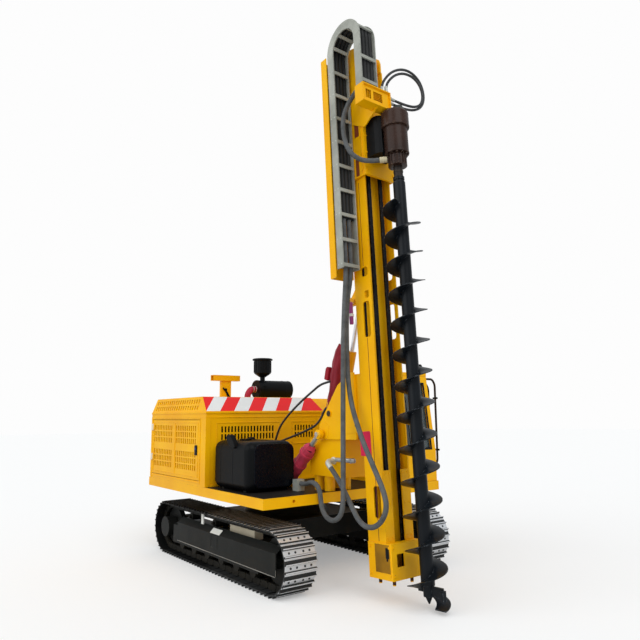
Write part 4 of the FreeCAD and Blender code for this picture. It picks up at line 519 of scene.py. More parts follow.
def lathe(mesh, profile, centre=(0, 0, 0), axis="z", steps=40):
    """Adds a turned form; the profile holds (radius, place along the axis) pairs."""
    rings = []
    for radius, along in profile:
        count = 1 if radius < 1e-6 else steps
        ring = []
        for i in range(count):
            turn = 2 * math.pi * i / steps
            a, b = radius * math.cos(turn), radius * math.sin(turn)
            place = {"x": (along, a, b), "y": (b, along, a), "z": (a, b, along)}[axis]
            ring.append(mesh.verts.new(Vector(centre) + Vector(place)))
        rings.append(ring)
    faces = []
    for one, two in zip(rings, rings[1:]):
        for i in range(steps):
            j = (i + 1) % steps
            loop = [one[i % len(one)], one[j % len(one)], two[j % len(two)], two[i % len(two)]]
            face = list(dict.fromkeys(loop))
            if len(face) > 2:
                faces.append(mesh.faces.new(face))
    for ring in (rings[0], rings[-1]):
        if len(ring) > 1:
            faces.append(mesh.faces.new(ring))
    bmesh.ops.recalc_face_normals(mesh, faces=faces)
    return [v for ring in rings for v in ring]


def bead(mesh, inner, outer, start, end, slope, centre=(0, 0, 0), axis="z", steps=40):
    """Adds a raised ring with sloping sides round an axis."""
    return lathe(mesh, [(inner, start), (outer, start + slope), (outer, end - slope),
                        (inner, end)], centre, axis, steps)


def frame_ring(mesh, axis, at, proud, low, high, width):
    """A flat frame of four strips on a wall: low and high are its outer corners in the wall."""
    (a0, b0), (a1, b1) = low, high
    for box in (((a0, b0), (a1, b0 + width)), ((a0, b1 - width), (a1, b1)),
                ((a0, b0 + width), (a0 + width, b1 - width)),
                ((a1 - width, b0 + width), (a1, b1 - width))):
        (p0, q0), (p1, q1) = box
        start, end = sorted((at, at + proud))
        prism(mesh, [(p0, q0), (p1, q0), (p1, q1), (p0, q1)], axis, start, end)


# A piece takes the place of its body and the slot of its finish where it names no other.
body_place, finish_slot = {}, {}


def piece(name, mesh, finishes, body="platform", edge=0, steps=2, place=None, replaces=(),
          slot=None):
    """Turns a mesh into an object that rides on a body, its edges rounded by a few millimetres."""
    finishes = finishes if isinstance(finishes, list) else [finishes]
    mesh.transform(place or body_place.get(body, Matrix()))
    for face in mesh.faces:
        face.smooth = True
    sharp = math.radians(32)
    for line in mesh.edges:
        if not edge and len(line.link_faces) == 2 and line.calc_face_angle(0) > sharp:
            line.smooth = False
    data = bpy.data.meshes.new(name)
    mesh.to_mesh(data)
    mesh.free()
    for finish in finishes:
        data.materials.append(finish)
    made = bpy.data.objects.new(name, data)
    bpy.context.scene.collection.objects.link(made)
    if edge:
        bevel = made.modifiers.new("edges", "BEVEL")
        bevel.width = edge
        bevel.segments = steps
        bevel.limit_method = "ANGLE"
        bevel.angle_limit = sharp
        bevel.harden_normals = True
    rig.ride(made, body)
    if replaces:
        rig.replaces(made, replaces)
    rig.slot(made, slot or finish_slot.get(finishes[0].name, "black_paint"))
    return made


def dress(finish, *nodes):
    """Gives construction solids their finish."""
    for node in nodes:
        slots = frame["nodes"][node].data.materials
        slots.clear()
        slots.append(finish)


def shoe_finish(name, front, rear, gloss):
    """Boron steel with painted light: a painted highlight round the front of the loop, a painted shade towards its
    back.
    """
    finish, tree, shader = surface(name, Metallic=0.6, Roughness=gloss)
    spot = add(tree, "TexCoord").outputs["Object"]
    along = add(tree, "SeparateXYZ", {0: spot}).outputs["X"]
    # Painted light: brighter towards the front of the loop, darker towards its back, with random patches.
    share = reckon(tree, "ADD", noise(tree, spot, 13.0, 7.0, 0.7),
                   spread(tree, along, -0.45, 0.25, -0.35, 0.28))
    wire(tree, shader, Base_Color=tint(tree, spread(tree, share, 0.38, 0.66), rear, front))
    emboss(tree, shader, noise(tree, spot, 140.0, 3.0), 0.3, 0.002)
    return finish


# A bright copy of the steel for the faces on the ground, and a dark, oily copy that paints shade in the folds.
polished_shoe_painted_light = shoe_finish("ground_polished_steel_painted_light", "#E6E9EC", "#1C1D1D", 0.38)
oily_shoe_painted_shade = shoe_finish("oily_rolled_steel_painted_shade", "#3C3D3D", "#121313", 0.55)


def painted(name, coat, faded, worn, gloss, metal=0.0, wear=0.5, dust=0.0, dust_tone="#8A7F6C",
            shine=0.18, slot="black_paint"):
    """Brushed or sprayed paint on steel: it fades in patches, chips at edges and takes dust low
    down. Its orange peel is drawn at 4 mm so that it shows."""
    finish, tree, shader = surface(name, Metallic=metal, Specular_IOR_Level=shine)
    spot = add(tree, "TexCoord").outputs["Object"]
    fade = spread(tree, noise(tree, spot, 1.7, 5.0, 0.6), 0.35, 0.68)
    soft = add(tree, "Bevel", {"Radius": 0.012}, samples=4).outputs[0]
    hard = add(tree, "NewGeometry").outputs["Normal"]
    facing = add(tree, "VectorMath", {0: soft, 1: hard}, operation="DOT_PRODUCT")
    chips = noise(tree, spot, 34.0, 6.0, 0.75)
    bare = reckon(tree, "MULTIPLY", spread(tree, facing.outputs["Value"], 0.97, 0.8),
                  spread(tree, chips, 0.5, 0.64, end=wear))
    height = add(tree, "SeparateXYZ", {0: spot}).outputs["Z"]
    film = reckon(tree, "MULTIPLY", spread(tree, height, 1.1, 0.1, end=dust),
                  noise(tree, spot, 6.0, 6.0))
    chipped = tint(tree, bare, tint(tree, fade, coat, faded), worn)
    wire(tree, shader, Base_Color=tint(tree, film, chipped, dust_tone),
         Roughness=spread(tree, chips, start=gloss - 0.06, end=gloss + 0.12))
    emboss(tree, shader, noise(tree, spot, 250.0, 2.0), 0.06, 0.001)
    finish_slot[name] = slot
    return finish


# Chassis paint: black, rubbed at its edges; on the wheels it is duller and dustier.
chassis_black = painted("chassis_black_paint", "#0C0F10", "#171B1C", "#6A6E6C", 0.4, wear=0.7,
                        dust=0.08, shine=0.1)
wheel_black = painted("wheel_black_paint", "#0B0D0D", "#171919", "#3F4241", 0.55, wear=0.6,
                      dust=0.12, shine=0.1)

plate_half, half_width = 0.063, track_width / 2
shoe_profile = [(-plate_half, 0.274), (-plate_half, 0.286), (-0.044, 0.287), (-0.04, 0.307),
                (-0.029, 0.307), (-0.024, 0.287), (0.026, 0.287), (0.031, 0.307),
                (0.042, 0.307), (0.046, 0.287), (plate_half, 0.284), (plate_half + 0.006, 0.276),
                (plate_half + 0.006, 0.27), (plate_half, 0.274)]
link_profile = [(-0.074, 0.232), (-0.06, 0.216), (0.048, 0.216), (0.07, 0.226), (0.072, 0.252),
                (0.05, 0.274), (-0.055, 0.274), (-0.076, 0.256)]
# Bright faces of a shoe: the tops of its two bars, the plate between them and its thin edge; the bars' sides and the
# rest take the dark copy, painted shade in the folds.
bar_faces = (1, 3, 5, 7)
for side, outward in (("right", -1), ("left", 1)):
    shoes, links = bmesh.new(), bmesh.new()
    for i in range(shoe_count):
        along, turned = shoe_place((i + 0.5) / shoe_count)
        spin = Matrix.Translation((along, outward * track_middle, track_radius)) \
            @ Matrix.Rotation(-turned, 4, "Y") @ Matrix.Rotation(math.pi, 4, "X")
        count = len(shoes.faces)
        made = prism(shoes, shoe_profile, "y", -half_width, half_width)
        shoes.faces.ensure_lookup_table()
        for k in bar_faces:
            shoes.faces[count + 2 + k].material_index = 1
        for across in (-0.115, -0.045, 0.045, 0.115):
            made += lathe(shoes, [(0, 0.292), (0.011, 0.292), (0.011, 0.284)],
                          (0.001, across, 0), "z", 8)
        for across in (-0.062, 0.062):
            made += prism(links, link_profile, "y", across - 0.014, across + 0.014)
        made += lathe(links, [(0.017, -0.08), (0.017, 0.08)], (0.064, 0, 0.236), "y", 10)
        for v in made:
            v.co = spin @ v.co
    piece("track_shoes_" + side, shoes, [oily_shoe_painted_shade, polished_shoe_painted_light], "undercarriage", edge=0.0015,
          steps=1, replaces="track_" + side, slot="shoe_steel")
    piece("track_links_" + side, links, wheel_black, "undercarriage")
dress(chassis_black, "sprockets", "idlers", "carbody", "slew_ring", "track_frames")
dress(wheel_black, "bottom_rollers", "carrier_rollers")

# ---- track covers: a worn lower edge, an access hatch, blank plates and a white bracket ----
# The plates are screwed on and left white, the edge is rubbed bare by mud and stones.
white_enamel = painted("white_enamel", "#E8E8E2", "#D2D2CA", "#8C8A80", 0.35, wear=0.4)
worn_edge = painted("rubbed_bare_steel", "#A8A49C", "#6E6A64", "#C8C6C0", 0.45, metal=0.5,
                    wear=0.6)
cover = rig.box("track_frames")
strips, plates, hatch = bmesh.new(), bmesh.new(), bmesh.new()
for side, skin in ((-1, cover[0][1]), (1, cover[1][1])):
    def across(out):
        """A place across the rig, so far out from a cover's face."""
        return skin + side * out
    low, high = sorted((across(-0.004), across(0.002)))
    block(strips, (-0.846, low, 0.196), (1.316, high, 0.2035))
    block(strips, (1.3185, low, 0.205), (1.3225, high, 0.262))
    low, high = sorted((across(-0.004), across(0.003)))
    frame_ring(hatch, "y", across(0), side * 0.003, (0.02, 0.262), (0.17, 0.392), 0.006)
    slope = [(across(0.0), 0.4065), (across(-0.046), 0.4525), (across(-0.044), 0.455),
             (across(0.0025), 0.4085)]
    prism(plates, slope, "x", 0.0, 0.215)
    low, high = sorted((across(-0.052), across(-0.04)))
    block(plates, (-0.3, low, 0.455), (-0.245, high, 0.585))
piece("track_cover_edges", strips, worn_edge, "undercarriage", edge=0.001, slot="shoe_steel")
piece("track_cover_hatches", hatch, chassis_black, "undercarriage", edge=0.001)
piece("track_cover_plates", plates, white_enamel, "undercarriage", edge=0.002)

# ---- frame and deck: welded steel box, sprayed yellow, with a chequered floor plate ----
# Enamel on steel: glossy where new, duller and browner where dust and hands reach it.
yellow_enamel = painted("yellow_machine_enamel", "#FFC000", "#F5AE00", "#6A5328", 0.34, wear=0.6,
                        dust=0.1, dust_tone="#B98F3A", slot="yellow_paint")
# Floor plate: oily black steel with boot marks and pale dust in it.
deck_steel = painted("trodden_deck_steel", "#0C0C0C", "#232120", "#77716A", 0.5, wear=0.9,
                     dust=0.3, dust_tone="#4F4A40")
# Skids: cast nylon blocks, sand-coloured and scuffed, on which the upper run slides.
skid_nylon = painted("cast_nylon", "#CFC6B0", "#B5AA92", "#8C8472", 0.55, wear=0.5, dust=0.2)
dress(yellow_enamel, "main_frame", "hood_shell", "hood_door", "mast_rest", "mast_support",
      "tilt_feet", "cab_shell", "cab_door", "bracket_plates", "mast_guide", "mast_beam",
      "mast_crown", "mast_foot", "slide_lug", "carrier_tray", "carriage_frame",
      "carrier_bracket")
dress(deck_steel, "deck_plate")
dress(skid_nylon, "track_skids")

# ---- engine hood trim: folded edges, seams and a corner post of the same yellow sheet ----
# Strips are spot-welded on the shell; the shadow under each is what draws the seams.
front_x, right_y, left_y, eave, roof = 0.09, -1.2, 0.43, 1.72, 1.89
trim = bmesh.new()
for low, high, proud in ((1.696, 1.716, 0.009), (1.648, 1.66, 0.005)):
    block(trim, (front_x - 0.002, right_y - proud, low), (front_x + proud, left_y, high))
    block(trim, (-1.47, right_y - proud, low), (front_x, right_y + 0.002, high))
block(trim, (front_x - 0.055, right_y - 0.006, 0.902), (front_x + 0.006, right_y + 0.055, 1.648))
block(trim, (-1.47, right_y - 0.006, 0.902), (-1.425, right_y + 0.01, 1.648))
frame_ring(trim, "y", right_y, -0.005, (-1.448, 0.93), (-0.042, 1.646), 0.014)
frame_ring(trim, "x", front_x, 0.005, (-1.075, 1.325), (-0.235, 1.6), 0.013)
frame_ring(trim, "x", front_x, 0.005, (-0.06, 1.325), (0.3, 1.6), 0.013)
block(trim, (front_x, right_y + 0.04, 0.902), (front_x + 0.007, left_y, 0.926))
# Painted shade: a black sheet behind the louvres, where shade falls in the slots.
louvre_shade_black = painted("louvre_shade_sheet_black", "#050505", "#0A0A0A", "#151515", 0.9, wear=0.1,
                      shine=0.05)
screen = bmesh.new()
screen_x = front_x - 0.006
for start, end in ((-1.07, -0.24), (-0.055, 0.295)):
    block(screen, (screen_x - 0.004, start, 1.33), (screen_x, end, 1.595))
piece("louvre_painted_shade_sheets", screen, louvre_shade_black, edge=0.001, slot="black_plastic")
piece("hood_trim", trim, yellow_enamel, edge=0.003)
sill = bmesh.new()
frame_ring(sill, "y", right_y, -0.004, (-1.392, 0.985), (-0.098, 1.598), 0.01)
block(sill, (-0.758, right_y - 0.005, 1.0), (-0.726, right_y + 0.002, 1.585))
piece("hood_door_beads", sill, yellow_enamel, "hood_door", edge=0.002)
# Lock: a black plastic handle with a blue barrel.
black_plastic = painted("moulded_black_plastic", "#121416", "#1C1F22", "#2E3134", 0.45, wear=0.3,
                        slot="black_plastic")
blue_plastic = painted("moulded_blue_plastic", "#1B3E8C", "#24489A", "#4A6AA8", 0.35, wear=0.2)
caps = bmesh.new()
for low in (1.13, 1.5):
    block(caps, (-1.44, -1.2158, low - 0.006), (-1.404, -1.198, low + 0.076))
piece("hood_hinge_caps", caps, white_enamel, "hood_door", edge=0.006, steps=3, slot="yellow_paint")
lock = bmesh.new()
block(lock, (-0.166, -1.215, 1.235), (-0.11, -1.198, 1.345))
piece("hood_lock", lock, black_plastic, "hood_door", edge=0.008, steps=3)
barrel = bmesh.new()
lathe(barrel, [(0, -1.2162), (0.014, -1.2162), (0.017, -1.213), (0.017, -1.2)],
      (-0.138, 0, 1.305), "y", 20)
piece("hood_lock_barrel", barrel, blue_plastic, "hood_door", slot="black_plastic")

# ---- brow stripes: red and white retro-reflective film laid on the hood's sloping brow ----
# Film on paint: flat colour, slightly pearly, with dirt along the cut edges.
red_film = painted("red_reflective_film", "#F01C20", "#E2262A", "#B0282A", 0.3, wear=0.2)
white_film = painted("white_reflective_film", "#EDF0F0", "#DFE3E3", "#B9BCBC", 0.3, wear=0.2)
low_edge = Vector((front_x, 0, eave))
high_edge = Vector((front_x - 0.2, 0, roof))
lift = Vector((roof - eave, 0, 0.2)).normalized() * 0.0012
cuts = [-1.38, -1.2, -1.027, -0.848, -0.663, -0.473, -0.285, -0.1, 0.091, 0.48]
films = {"red": bmesh.new(), "white": bmesh.new()}
for i, (start, end) in enumerate(zip(cuts, cuts[1:])):
    film = films["white" if i % 2 else "red"]
    corners = []
    for share, shift in ((0.02, 0.0), (0.98, 0.195)):
        y_low, y_high = right_y + 0.052 * share, left_y - 0.052 * share
        spots = [min(max(y + shift * share, y_low), y_high) for y in (start, end)]
        corners.append([low_edge.lerp(high_edge, share) + Vector((0, y, 0)) for y in spots])
    (a, b), (c, d) = corners
    outline = [a, b, d, c]
    if (a - b).length < 1e-4:
        outline = [a, d, c]
    if (c - d).length < 1e-4:
        outline = [a, b, c]
    below = [film.verts.new(p - lift) for p in outline]
    above = [film.verts.new(p + lift) for p in outline]
    faces = [film.faces.new(below[::-1]), film.faces.new(above)]
    for k in range(len(outline)):
        j = (k + 1) % len(outline)
        faces.append(film.faces.new((below[k], below[j], above[j], above[k])))
    bmesh.ops.recalc_face_normals(film, faces=faces)
piece("brow_stripes_red", films["red"], red_film, slot="yellow_paint")
piece("brow_stripes_white", films["white"], white_film, slot="yellow_paint")

# ---- fuel tank: rotationally moulded black polyethylene, a drum-ended box with a framed face ----
# Moulded plastic: soft satin black, a little paler on its rounded corners, dusty on top.
moulded_black = painted("moulded_polyethylene", "#060709", "#0C0E10", "#2B2F33", 0.36, wear=0.5,
                        shine=0.1, slot="black_plastic")
face_black = painted("glossy_face_panel", "#05070D", "#070A12", "#20242A", 0.25, wear=0.3,
                     shine=0.12, slot="black_plastic")
drum_low, drum_high = Vector((0.12, -1.128, 0.908)), Vector((0.888, -0.56, 1.406))
drum = bmesh.new()
block(drum, drum_low, drum_high)
piece("tank_drum", drum, moulded_black, edge=0.088, steps=8, replaces="deck_tank")


def round_corners(low, high, radius, steps=6):
    """A rectangle's outline with its corners rounded."""
    outline = []
    for k, (a, b) in enumerate(((1, 1), (0, 1), (0, 0), (1, 0))):
        centre = (high[0] - radius if a else low[0] + radius,
                  high[1] - radius if b else low[1] + radius)
        for i in range(steps + 1):
            turn = math.pi / 2 * (k + i / steps)
            outline.append((centre[0] + radius * math.cos(turn),
                            centre[1] + radius * math.sin(turn)))
    return outline


face = bmesh.new()
prism(face, round_corners((-1.058, 0.945), (-0.578, 1.382), 0.075), "x", 0.87, 0.8935)
piece("tank_face_panel", face, face_black, edge=0.006, steps=3)
bands = bmesh.new()
proud = 0.0015
band = round_corners((drum_low.y - proud, drum_low.z - proud), (drum_high.y, drum_high.z + proud),
                     0.09)
for start in (0.3, 0.56):
    prism(bands, band, "x", start, start + 0.012)
piece("tank_seams", bands, moulded_black, edge=0.001)
ear = bmesh.new()
prism(ear, [(0.44, 1.44), (0.472, 1.474), (0.53, 1.47), (0.602, 1.402), (0.63, 1.35),
            (0.604, 1.334), (0.5, 1.366)], "y", -1.142, -1.088)
block(ear, (0.4, -0.95, 1.4), (0.52, -0.87, 1.424))
lathe(ear, [(0.052, 1.4), (0.052, 1.412), (0.045, 1.416), (0.04, 1.43), (0, 1.432)],
      (0.25, -0.72, 0), "z", 28)
piece("tank_handle_and_cap", ear, moulded_black, edge=0.01, steps=3)
feet = bmesh.new()
for x0 in (0.25, 0.71):
    block(feet, (x0, -1.08, 0.9), (x0 + 0.06, -0.58, 0.925))
piece("tank_feet", feet, chassis_black, edge=0.003)

# ---- air cleaner, its cowl and the red elbow between it and the engine ----
# Pressed steel can in satin black with rolled end beads; the elbow is moulded red silicone.
red_silicone = painted("moulded_red_silicone", "#B83048", "#9C2038", "#D0708A", 0.4, wear=0.3)
satin_black = painted("satin_black_enamel", "#08090B", "#0F1114", "#3A3D40", 0.3, wear=0.4,
                      shine=0.12)
dress(satin_black, "air_cleaner", "pre_cleaner")
dress(red_silicone, "intake_hose")
can_x, can_z, cowl_y = -0.95, 2.027, 0.167
beads = bmesh.new()
for start in (0.066, 0.13, 0.47, 0.575):
    bead(beads, 0.118, 0.1275, start, start + 0.018, 0.003, (can_x, 0, can_z), "y", 48)
for turn in (0.3, 2.4, 4.5):
    x, z = can_x + 0.126 * math.cos(turn), can_z + 0.126 * math.sin(turn)
    block(beads, (x - 0.011, 0.12, z - 0.007), (x + 0.011, 0.16, z + 0.007))
piece("air_cleaner_beads", beads, satin_black, edge=0.001)
clips = bmesh.new()
for at in (0.05, 0.01):
    bead(clips, 0.0425, 0.045, at - 0.006, at + 0.006, 0.001, (can_x, 0, can_z), "y", 36)
# Worm-drive clips: zinc-plated strip, bright with a faint yellow tint.
zinc_plate = painted("zinc_plated_steel", "#C9CCC4", "#B4B8B0", "#8C8F88", 0.38, metal=0.35,
                     dust=0.1, slot="carrier_steel")
piece("intake_clips", clips, zinc_plate, edge=0.0008)
cowl = bmesh.new()
for k in range(18):
    turn = 2 * math.pi * k / 18
    x, y = can_x + 0.1185 * math.cos(turn), cowl_y + 0.1185 * math.sin(turn)
    block(cowl, (x - 0.004, y - 0.004, 2.262), (x + 0.004, y + 0.004, 2.418))
bead(cowl, 0.132, 0.1405, 2.428, 2.45, 0.003, (can_x, cowl_y, 0), steps=48)
piece("pre_cleaner_ribs", cowl, satin_black, edge=0.001)

# ---- mast rest latch: a hooked spring pin on the rest's post ----
# Flame-cut steel plate; the hook swings over the mast when it lies on the rest.
latch = bmesh.new()
prism(latch, [(-0.236, 2.05), (-0.224, 2.066), (-0.152, 1.998), (-0.116, 1.936), (-0.128, 1.914),
              (-0.152, 1.93), (-0.19, 2.002)], "x", -1.366, -1.35)
lathe(latch, [(0, -1.343), (0.017, -1.343), (0.019, -1.348), (0.019, -1.366)],
      (0, -0.186, 2.034), "x", 16)
piece("rest_latch", latch, chassis_black, edge=0.003)

# ---- operator's seat: moulded foam cushions in black vinyl on a sheet-steel box ----
# Vinyl: satin black, a fine grain, creased and shiny where it is sat on.
black_vinyl = painted("grained_black_vinyl", "#17181A", "#202224", "#3A3C3E", 0.5, wear=0.3)


def cushion(name, low, high, crown):
    """A foam pad: its faces swell between the seams and its sides pull in between corners."""
    mesh = bmesh.new()
    bmesh.ops.create_cube(mesh, size=2.0)
    bmesh.ops.subdivide_edges(mesh, edges=mesh.edges[:], cuts=7, use_grid_fill=True)
    middle, half = (Vector(low) + Vector(high)) / 2, (Vector(high) - Vector(low)) / 2
    thin = min(range(3), key=lambda k: half[k])
    wide = [k for k in range(3) if k != thin]
    for v in mesh.verts:
        a, b = v.co[wide[0]], v.co[wide[1]]
        swell = crown * (1 - a ** 4) * (1 - b ** 4)
        rim = max(abs(a), abs(b))
        v.co[thin] *= (half[thin] - crown) / half[thin] * (1 - 0.35 * rim ** 8)
        pushed = v.co[thin] * half[thin]
        pushed += math.copysign(swell, v.co[thin]) * abs(v.co[thin]) ** 0.5
        pull = 0.012 * (1 - abs(a if abs(b) > abs(a) else b) ** 2)
        for k in wide:
            v.co[k] *= half[k] - (pull if abs(v.co[k]) > 0.99 else 0)
        v.co[thin] = pushed
        v.co += middle
    made = piece(name, mesh, black_vinyl, slot="seat_trim")
    round_off = made.modifiers.new("soft", "SUBSURF")
    round_off.levels = round_off.render_levels = 1
    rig.padded(made, fill=0.7)


seat_low, seat_high = (Vector(p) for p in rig.box("cab_seat"))
middle_y = (seat_low.y + seat_high.y) / 2
cushion("seat_cushion", (seat_low.x + 0.055, middle_y - 0.237, 1.18),
        (seat_high.x - 0.003, middle_y + 0.237, 1.298), 0.02)
cushion("seat_back", (seat_low.x + 0.003, middle_y - 0.228, 1.3),
        (seat_low.x + 0.125, middle_y + 0.228, seat_high.z - 0.004), 0.02)
stand = bmesh.new()
block(stand, (seat_low.x + 0.11, middle_y - 0.16, 0.93),
      (seat_low.x + 0.43, middle_y + 0.16, 1.182))
piece("seat_stand", stand, chassis_black, edge=0.004, replaces="cab_seat")

# ---- cab glazing: clear laminated panes in black rubber gaskets ----
# Glass: almost colourless, faintly green at its edges; the gasket is matt black EPDM rubber.
clear_glass, tree, shader = surface("laminated_glass", Roughness=0.04, Transmission_Weight=0.8,
                                    IOR=1.52)
haze = noise(tree, add(tree, "TexCoord").outputs["Object"], 5.0, 4.0)
wire(tree, shader, Base_Color=tint(tree, haze, "#8FA2A6", "#5C6C72"),
     Roughness=spread(tree, haze, start=0.02, end=0.12))
dress(clear_glass, "cab_glass", "cab_door_glass")
rubber = painted("epdm_rubber", "#0C0D0E", "#15171A", "#2A2C2E", 0.6, wear=0.2,
                 slot="black_plastic")
gasket = bmesh.new()
cab_low, cab_high = (Vector(p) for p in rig.box("cab_shell"))
door_low, door_high = (Vector(p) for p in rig.box("cab_door_glass"))
pillar = 0.06
frame_ring(gasket, "y", cab_low.y, -0.004, (cab_low.x + pillar, 1.38), (1.0, 2.04), 0.02)
frame_ring(gasket, "x", cab_low.x, -0.004, (cab_low.y + pillar, 1.56),
           (cab_high.y - pillar, 2.04), 0.02)
frame_ring(gasket, "y", cab_high.y, 0.004, (0.96, 1.26), (1.05, 2.04), 0.018)
slope = Vector((-0.12, 0, 0.93)).normalized()
outward = Vector((0.93, 0, 0.12)).normalized()
foot_point = Vector((1.27, 0, 1.23))
lean_turn = Matrix((outward, Vector((0, 1, 0)), slope)).transposed().to_4x4()
front_gasket = bmesh.new()
frame_ring(front_gasket, "x", 0, 0.005, (cab_low.y + pillar - 0.002, 0.028),
           (cab_high.y - pillar + 0.002, 0.818), 0.024)
block(front_gasket, (0.004, 0.78, 0.06), (0.01, 0.792, 0.52))
block(front_gasket, (0.01, 0.776, 0.16), (0.016, 0.784, 0.64))
piece("windscreen_gasket_and_wiper", front_gasket, rubber, edge=0.002,
      place=Matrix.Translation(foot_point) @ lean_turn)
piece("side_gaskets", gasket, rubber, edge=0.002)
door_gasket = bmesh.new()
frame_ring(door_gasket, "y", cab_high.y, 0.004, (door_low.x - 0.01, door_low.z - 0.01),
           (door_high.x + 0.01, door_high.z + 0.01), 0.018)
piece("door_gasket", door_gasket, rubber, "cab_door", edge=0.002)
grip = bmesh.new()
block(grip, (0.81, 1.195, 1.14), (0.882, 1.222, 1.21))
block(grip, (0.82, 1.215, 1.16), (0.872, 1.232, 1.19))
piece("door_handle", grip, black_plastic, "cab_door", edge=0.006, steps=3)
lip = bmesh.new()
rear = cab_low.x - 0.008
roof_side = [(rear, 2.118), (1.15, 2.118), (1.146, 2.158), (rear, 2.158)]
prism(lip, roof_side, "y", cab_low.y - 0.008, cab_low.y - 0.0005)
prism(lip, roof_side, "y", 1.1955, 1.203)
block(lip, (1.146, cab_low.y, 2.122), (1.16, 1.195, 2.158))
for low, high in ((0.93, 0.945), (1.22, 1.232)):
    block(lip, (cab_low.x + 0.02, cab_low.y - 0.005, low), (1.262, cab_low.y - 0.0005, high))
piece("cab_roof_lip", lip, yellow_enamel, edge=0.003)
# Rails: bent tube under dark bronze paint.
bronze_paint = painted("bronze_painted_tube", "#241A12", "#33261B", "#6B5A48", 0.35)
dress(bronze_paint, "cab_handrails")
dress(satin_black, "cab_lamp")
pegs = bmesh.new()
for y, x, heights in ((1.3, 1.09, (1.32, 1.84)), (1.37, 1.135, (1.24, 1.86))):
    for z in heights:
        lathe(pegs, [(0.01, x - 0.034), (0.012, x - 0.032), (0.012, x + 0.032),
                     (0.01, x + 0.034)], (0, y, z), "x", 14)
piece("handrail_pegs", pegs, chassis_black)
lens_ring = bmesh.new()
lathe(lens_ring, [(0, 1.1245), (0.03, 1.1245), (0.033, 1.1285), (0.036, 1.1285)],
      (0, 1.13, 2.23), "x", 32)
# Lamp lens: ribbed clear glass over a bright reflector.
lamp_glass = painted("ribbed_lamp_glass", "#DCE2E4", "#C6CED2", "#F2F4F4", 0.12, metal=0.3)
piece("lamp_lens", lens_ring, lamp_glass, slot="glass")

# ---- mast support and bracket: welded plate, held by pins with keeper plates and bolts ----
# Pins are turned steel, greased, with dust stuck on them.
pivot, tilt_foot, tilt_eye = (1.32, 1.683), (0.637, 0.96), (1.206, 1.474)
tilt_sides = {"right": -0.48, "left": 0.02}
greased_steel = painted("greased_turned_steel", "#4A4238", "#2E2A26", "#8C8274", 0.4, metal=0.6,
                        wear=0.5)
mast_turn = Matrix(((math.cos(lean), 0, -math.sin(lean)), (0, 1, 0),
                    (math.sin(lean), 0, math.cos(lean)))).to_4x4()
mast_place = Matrix.Translation(mast_root) @ mast_turn
body_place.update(mast=mast_place, carriage=mast_place)


def bolt_heads(mesh, spots, axis, out, radius=0.013, high=0.01):
    """Hexagon heads on washers; out is the way that they face along the axis."""
    for spot in spots:
        at = {"x": spot[0], "y": spot[1], "z": spot[2]}[axis]
        centre = [0 if k == "xyz".index(axis) else c for k, c in enumerate(spot)]
        lathe(mesh, [(radius * 1.45, at - out * 0.001), (radius * 1.45, at + out * 0.002)],
              centre, axis, 16)
        lathe(mesh, [(radius, at + out * 0.002), (radius, at + out * high)], centre, axis, 6)


pins = bmesh.new()
for y, out in ((-0.444, -1), (-0.016, 1)):
    lathe(pins, [(0, y + out * 0.006), (0.026, y + out * 0.006), (0.03, y + out * 0.002),
                 (0.03, y - out * 0.006)], (pivot[0], 0, pivot[1]), "y", 28)
    lathe(pins, [(0, y + out * 0.004), (0.026, y + out * 0.004), (0.028, y)],
          (tilt_eye[0], 0, tilt_eye[1]), "y", 24)
piece("bracket_pins", pins, greased_steel, "mast_bracket", edge=0.0015)
pads = bmesh.new()
prism(pads, [(1.165, 1.43), (1.29, 1.43), (1.31, 1.56), (1.25, 1.6), (1.165, 1.56)], "y",
      -0.4345, -0.429)
prism(pads, [(1.47, 1.47), (1.77, 1.5), (1.76, 1.56), (1.47, 1.53)], "y", -0.4345, -0.429)
piece("bracket_doublers", pads, yellow_enamel, "mast_bracket", edge=0.003)
hole = bmesh.new()
lathe(hole, [(0, -0.4315), (0.026, -0.4315), (0.026, -0.43)], (1.74, 0, 1.561), "y", 28)
# Painted shade: a nearly black sheet laid in holes and openings, where shade falls inside them.
painted_shade_black = painted("painted_shade_steel", "#0B0B0A", "#14120F", "#26231F", 0.7)
piece("bracket_hole_painted_shade", hole, painted_shade_black, "mast_bracket")
dress(zinc_plate, "hydraulic_fittings")
elbow_ring = bmesh.new()
for at in (-0.404, -0.418):
    bead(elbow_ring, 0.026, 0.036, at - 0.006, at + 0.006, 0.001, (1.357, 0, 1.214), "y", 24)
piece("turret_port_flange", elbow_ring, white_enamel, edge=0.0008)

# ---- cylinders: chromed rods in steel barrels, the barrels wrapped in laced cloth sleeves ----
# Chrome: bright, almost mirror, with faint draw lines. Sleeve: waxed red cotton duck, creased.
hard_chrome, tree, shader = surface("hard_chrome", Metallic=0.9, Roughness=0.3)
lines = noise(tree, add(tree, "TexCoord").outputs["Object"], 22.0, 4.0)
wire(tree, shader, Base_Color=tint(tree, lines, "#F6F7F8", "#E2E4E6"),
     Roughness=spread(tree, lines, start=0.24, end=0.4))
dress(hard_chrome, "tilt_rods", "slide_rods")
dress(chassis_black, "tilt_barrels")
dress(yellow_enamel, "slide_barrels")


def duck_cloth(name, tone, shade):
    """Waxed cotton duck: plain weave drawn at 4 mm so that it shows, creases pale on top."""
    finish, tree, shader = surface(name, Roughness=0.62, Specular_IOR_Level=0.35,
                                   Sheen_Weight=0.15)
    spot = add(tree, "TexCoord").outputs["Object"]
    wire(tree, shader, Base_Color=tint(tree, noise(tree, spot, 9.0, 6.0, 0.6), tone, shade))
    emboss(tree, shader, noise(tree, spot, 240.0, 1.0), 0.3, 0.001)
    return finish


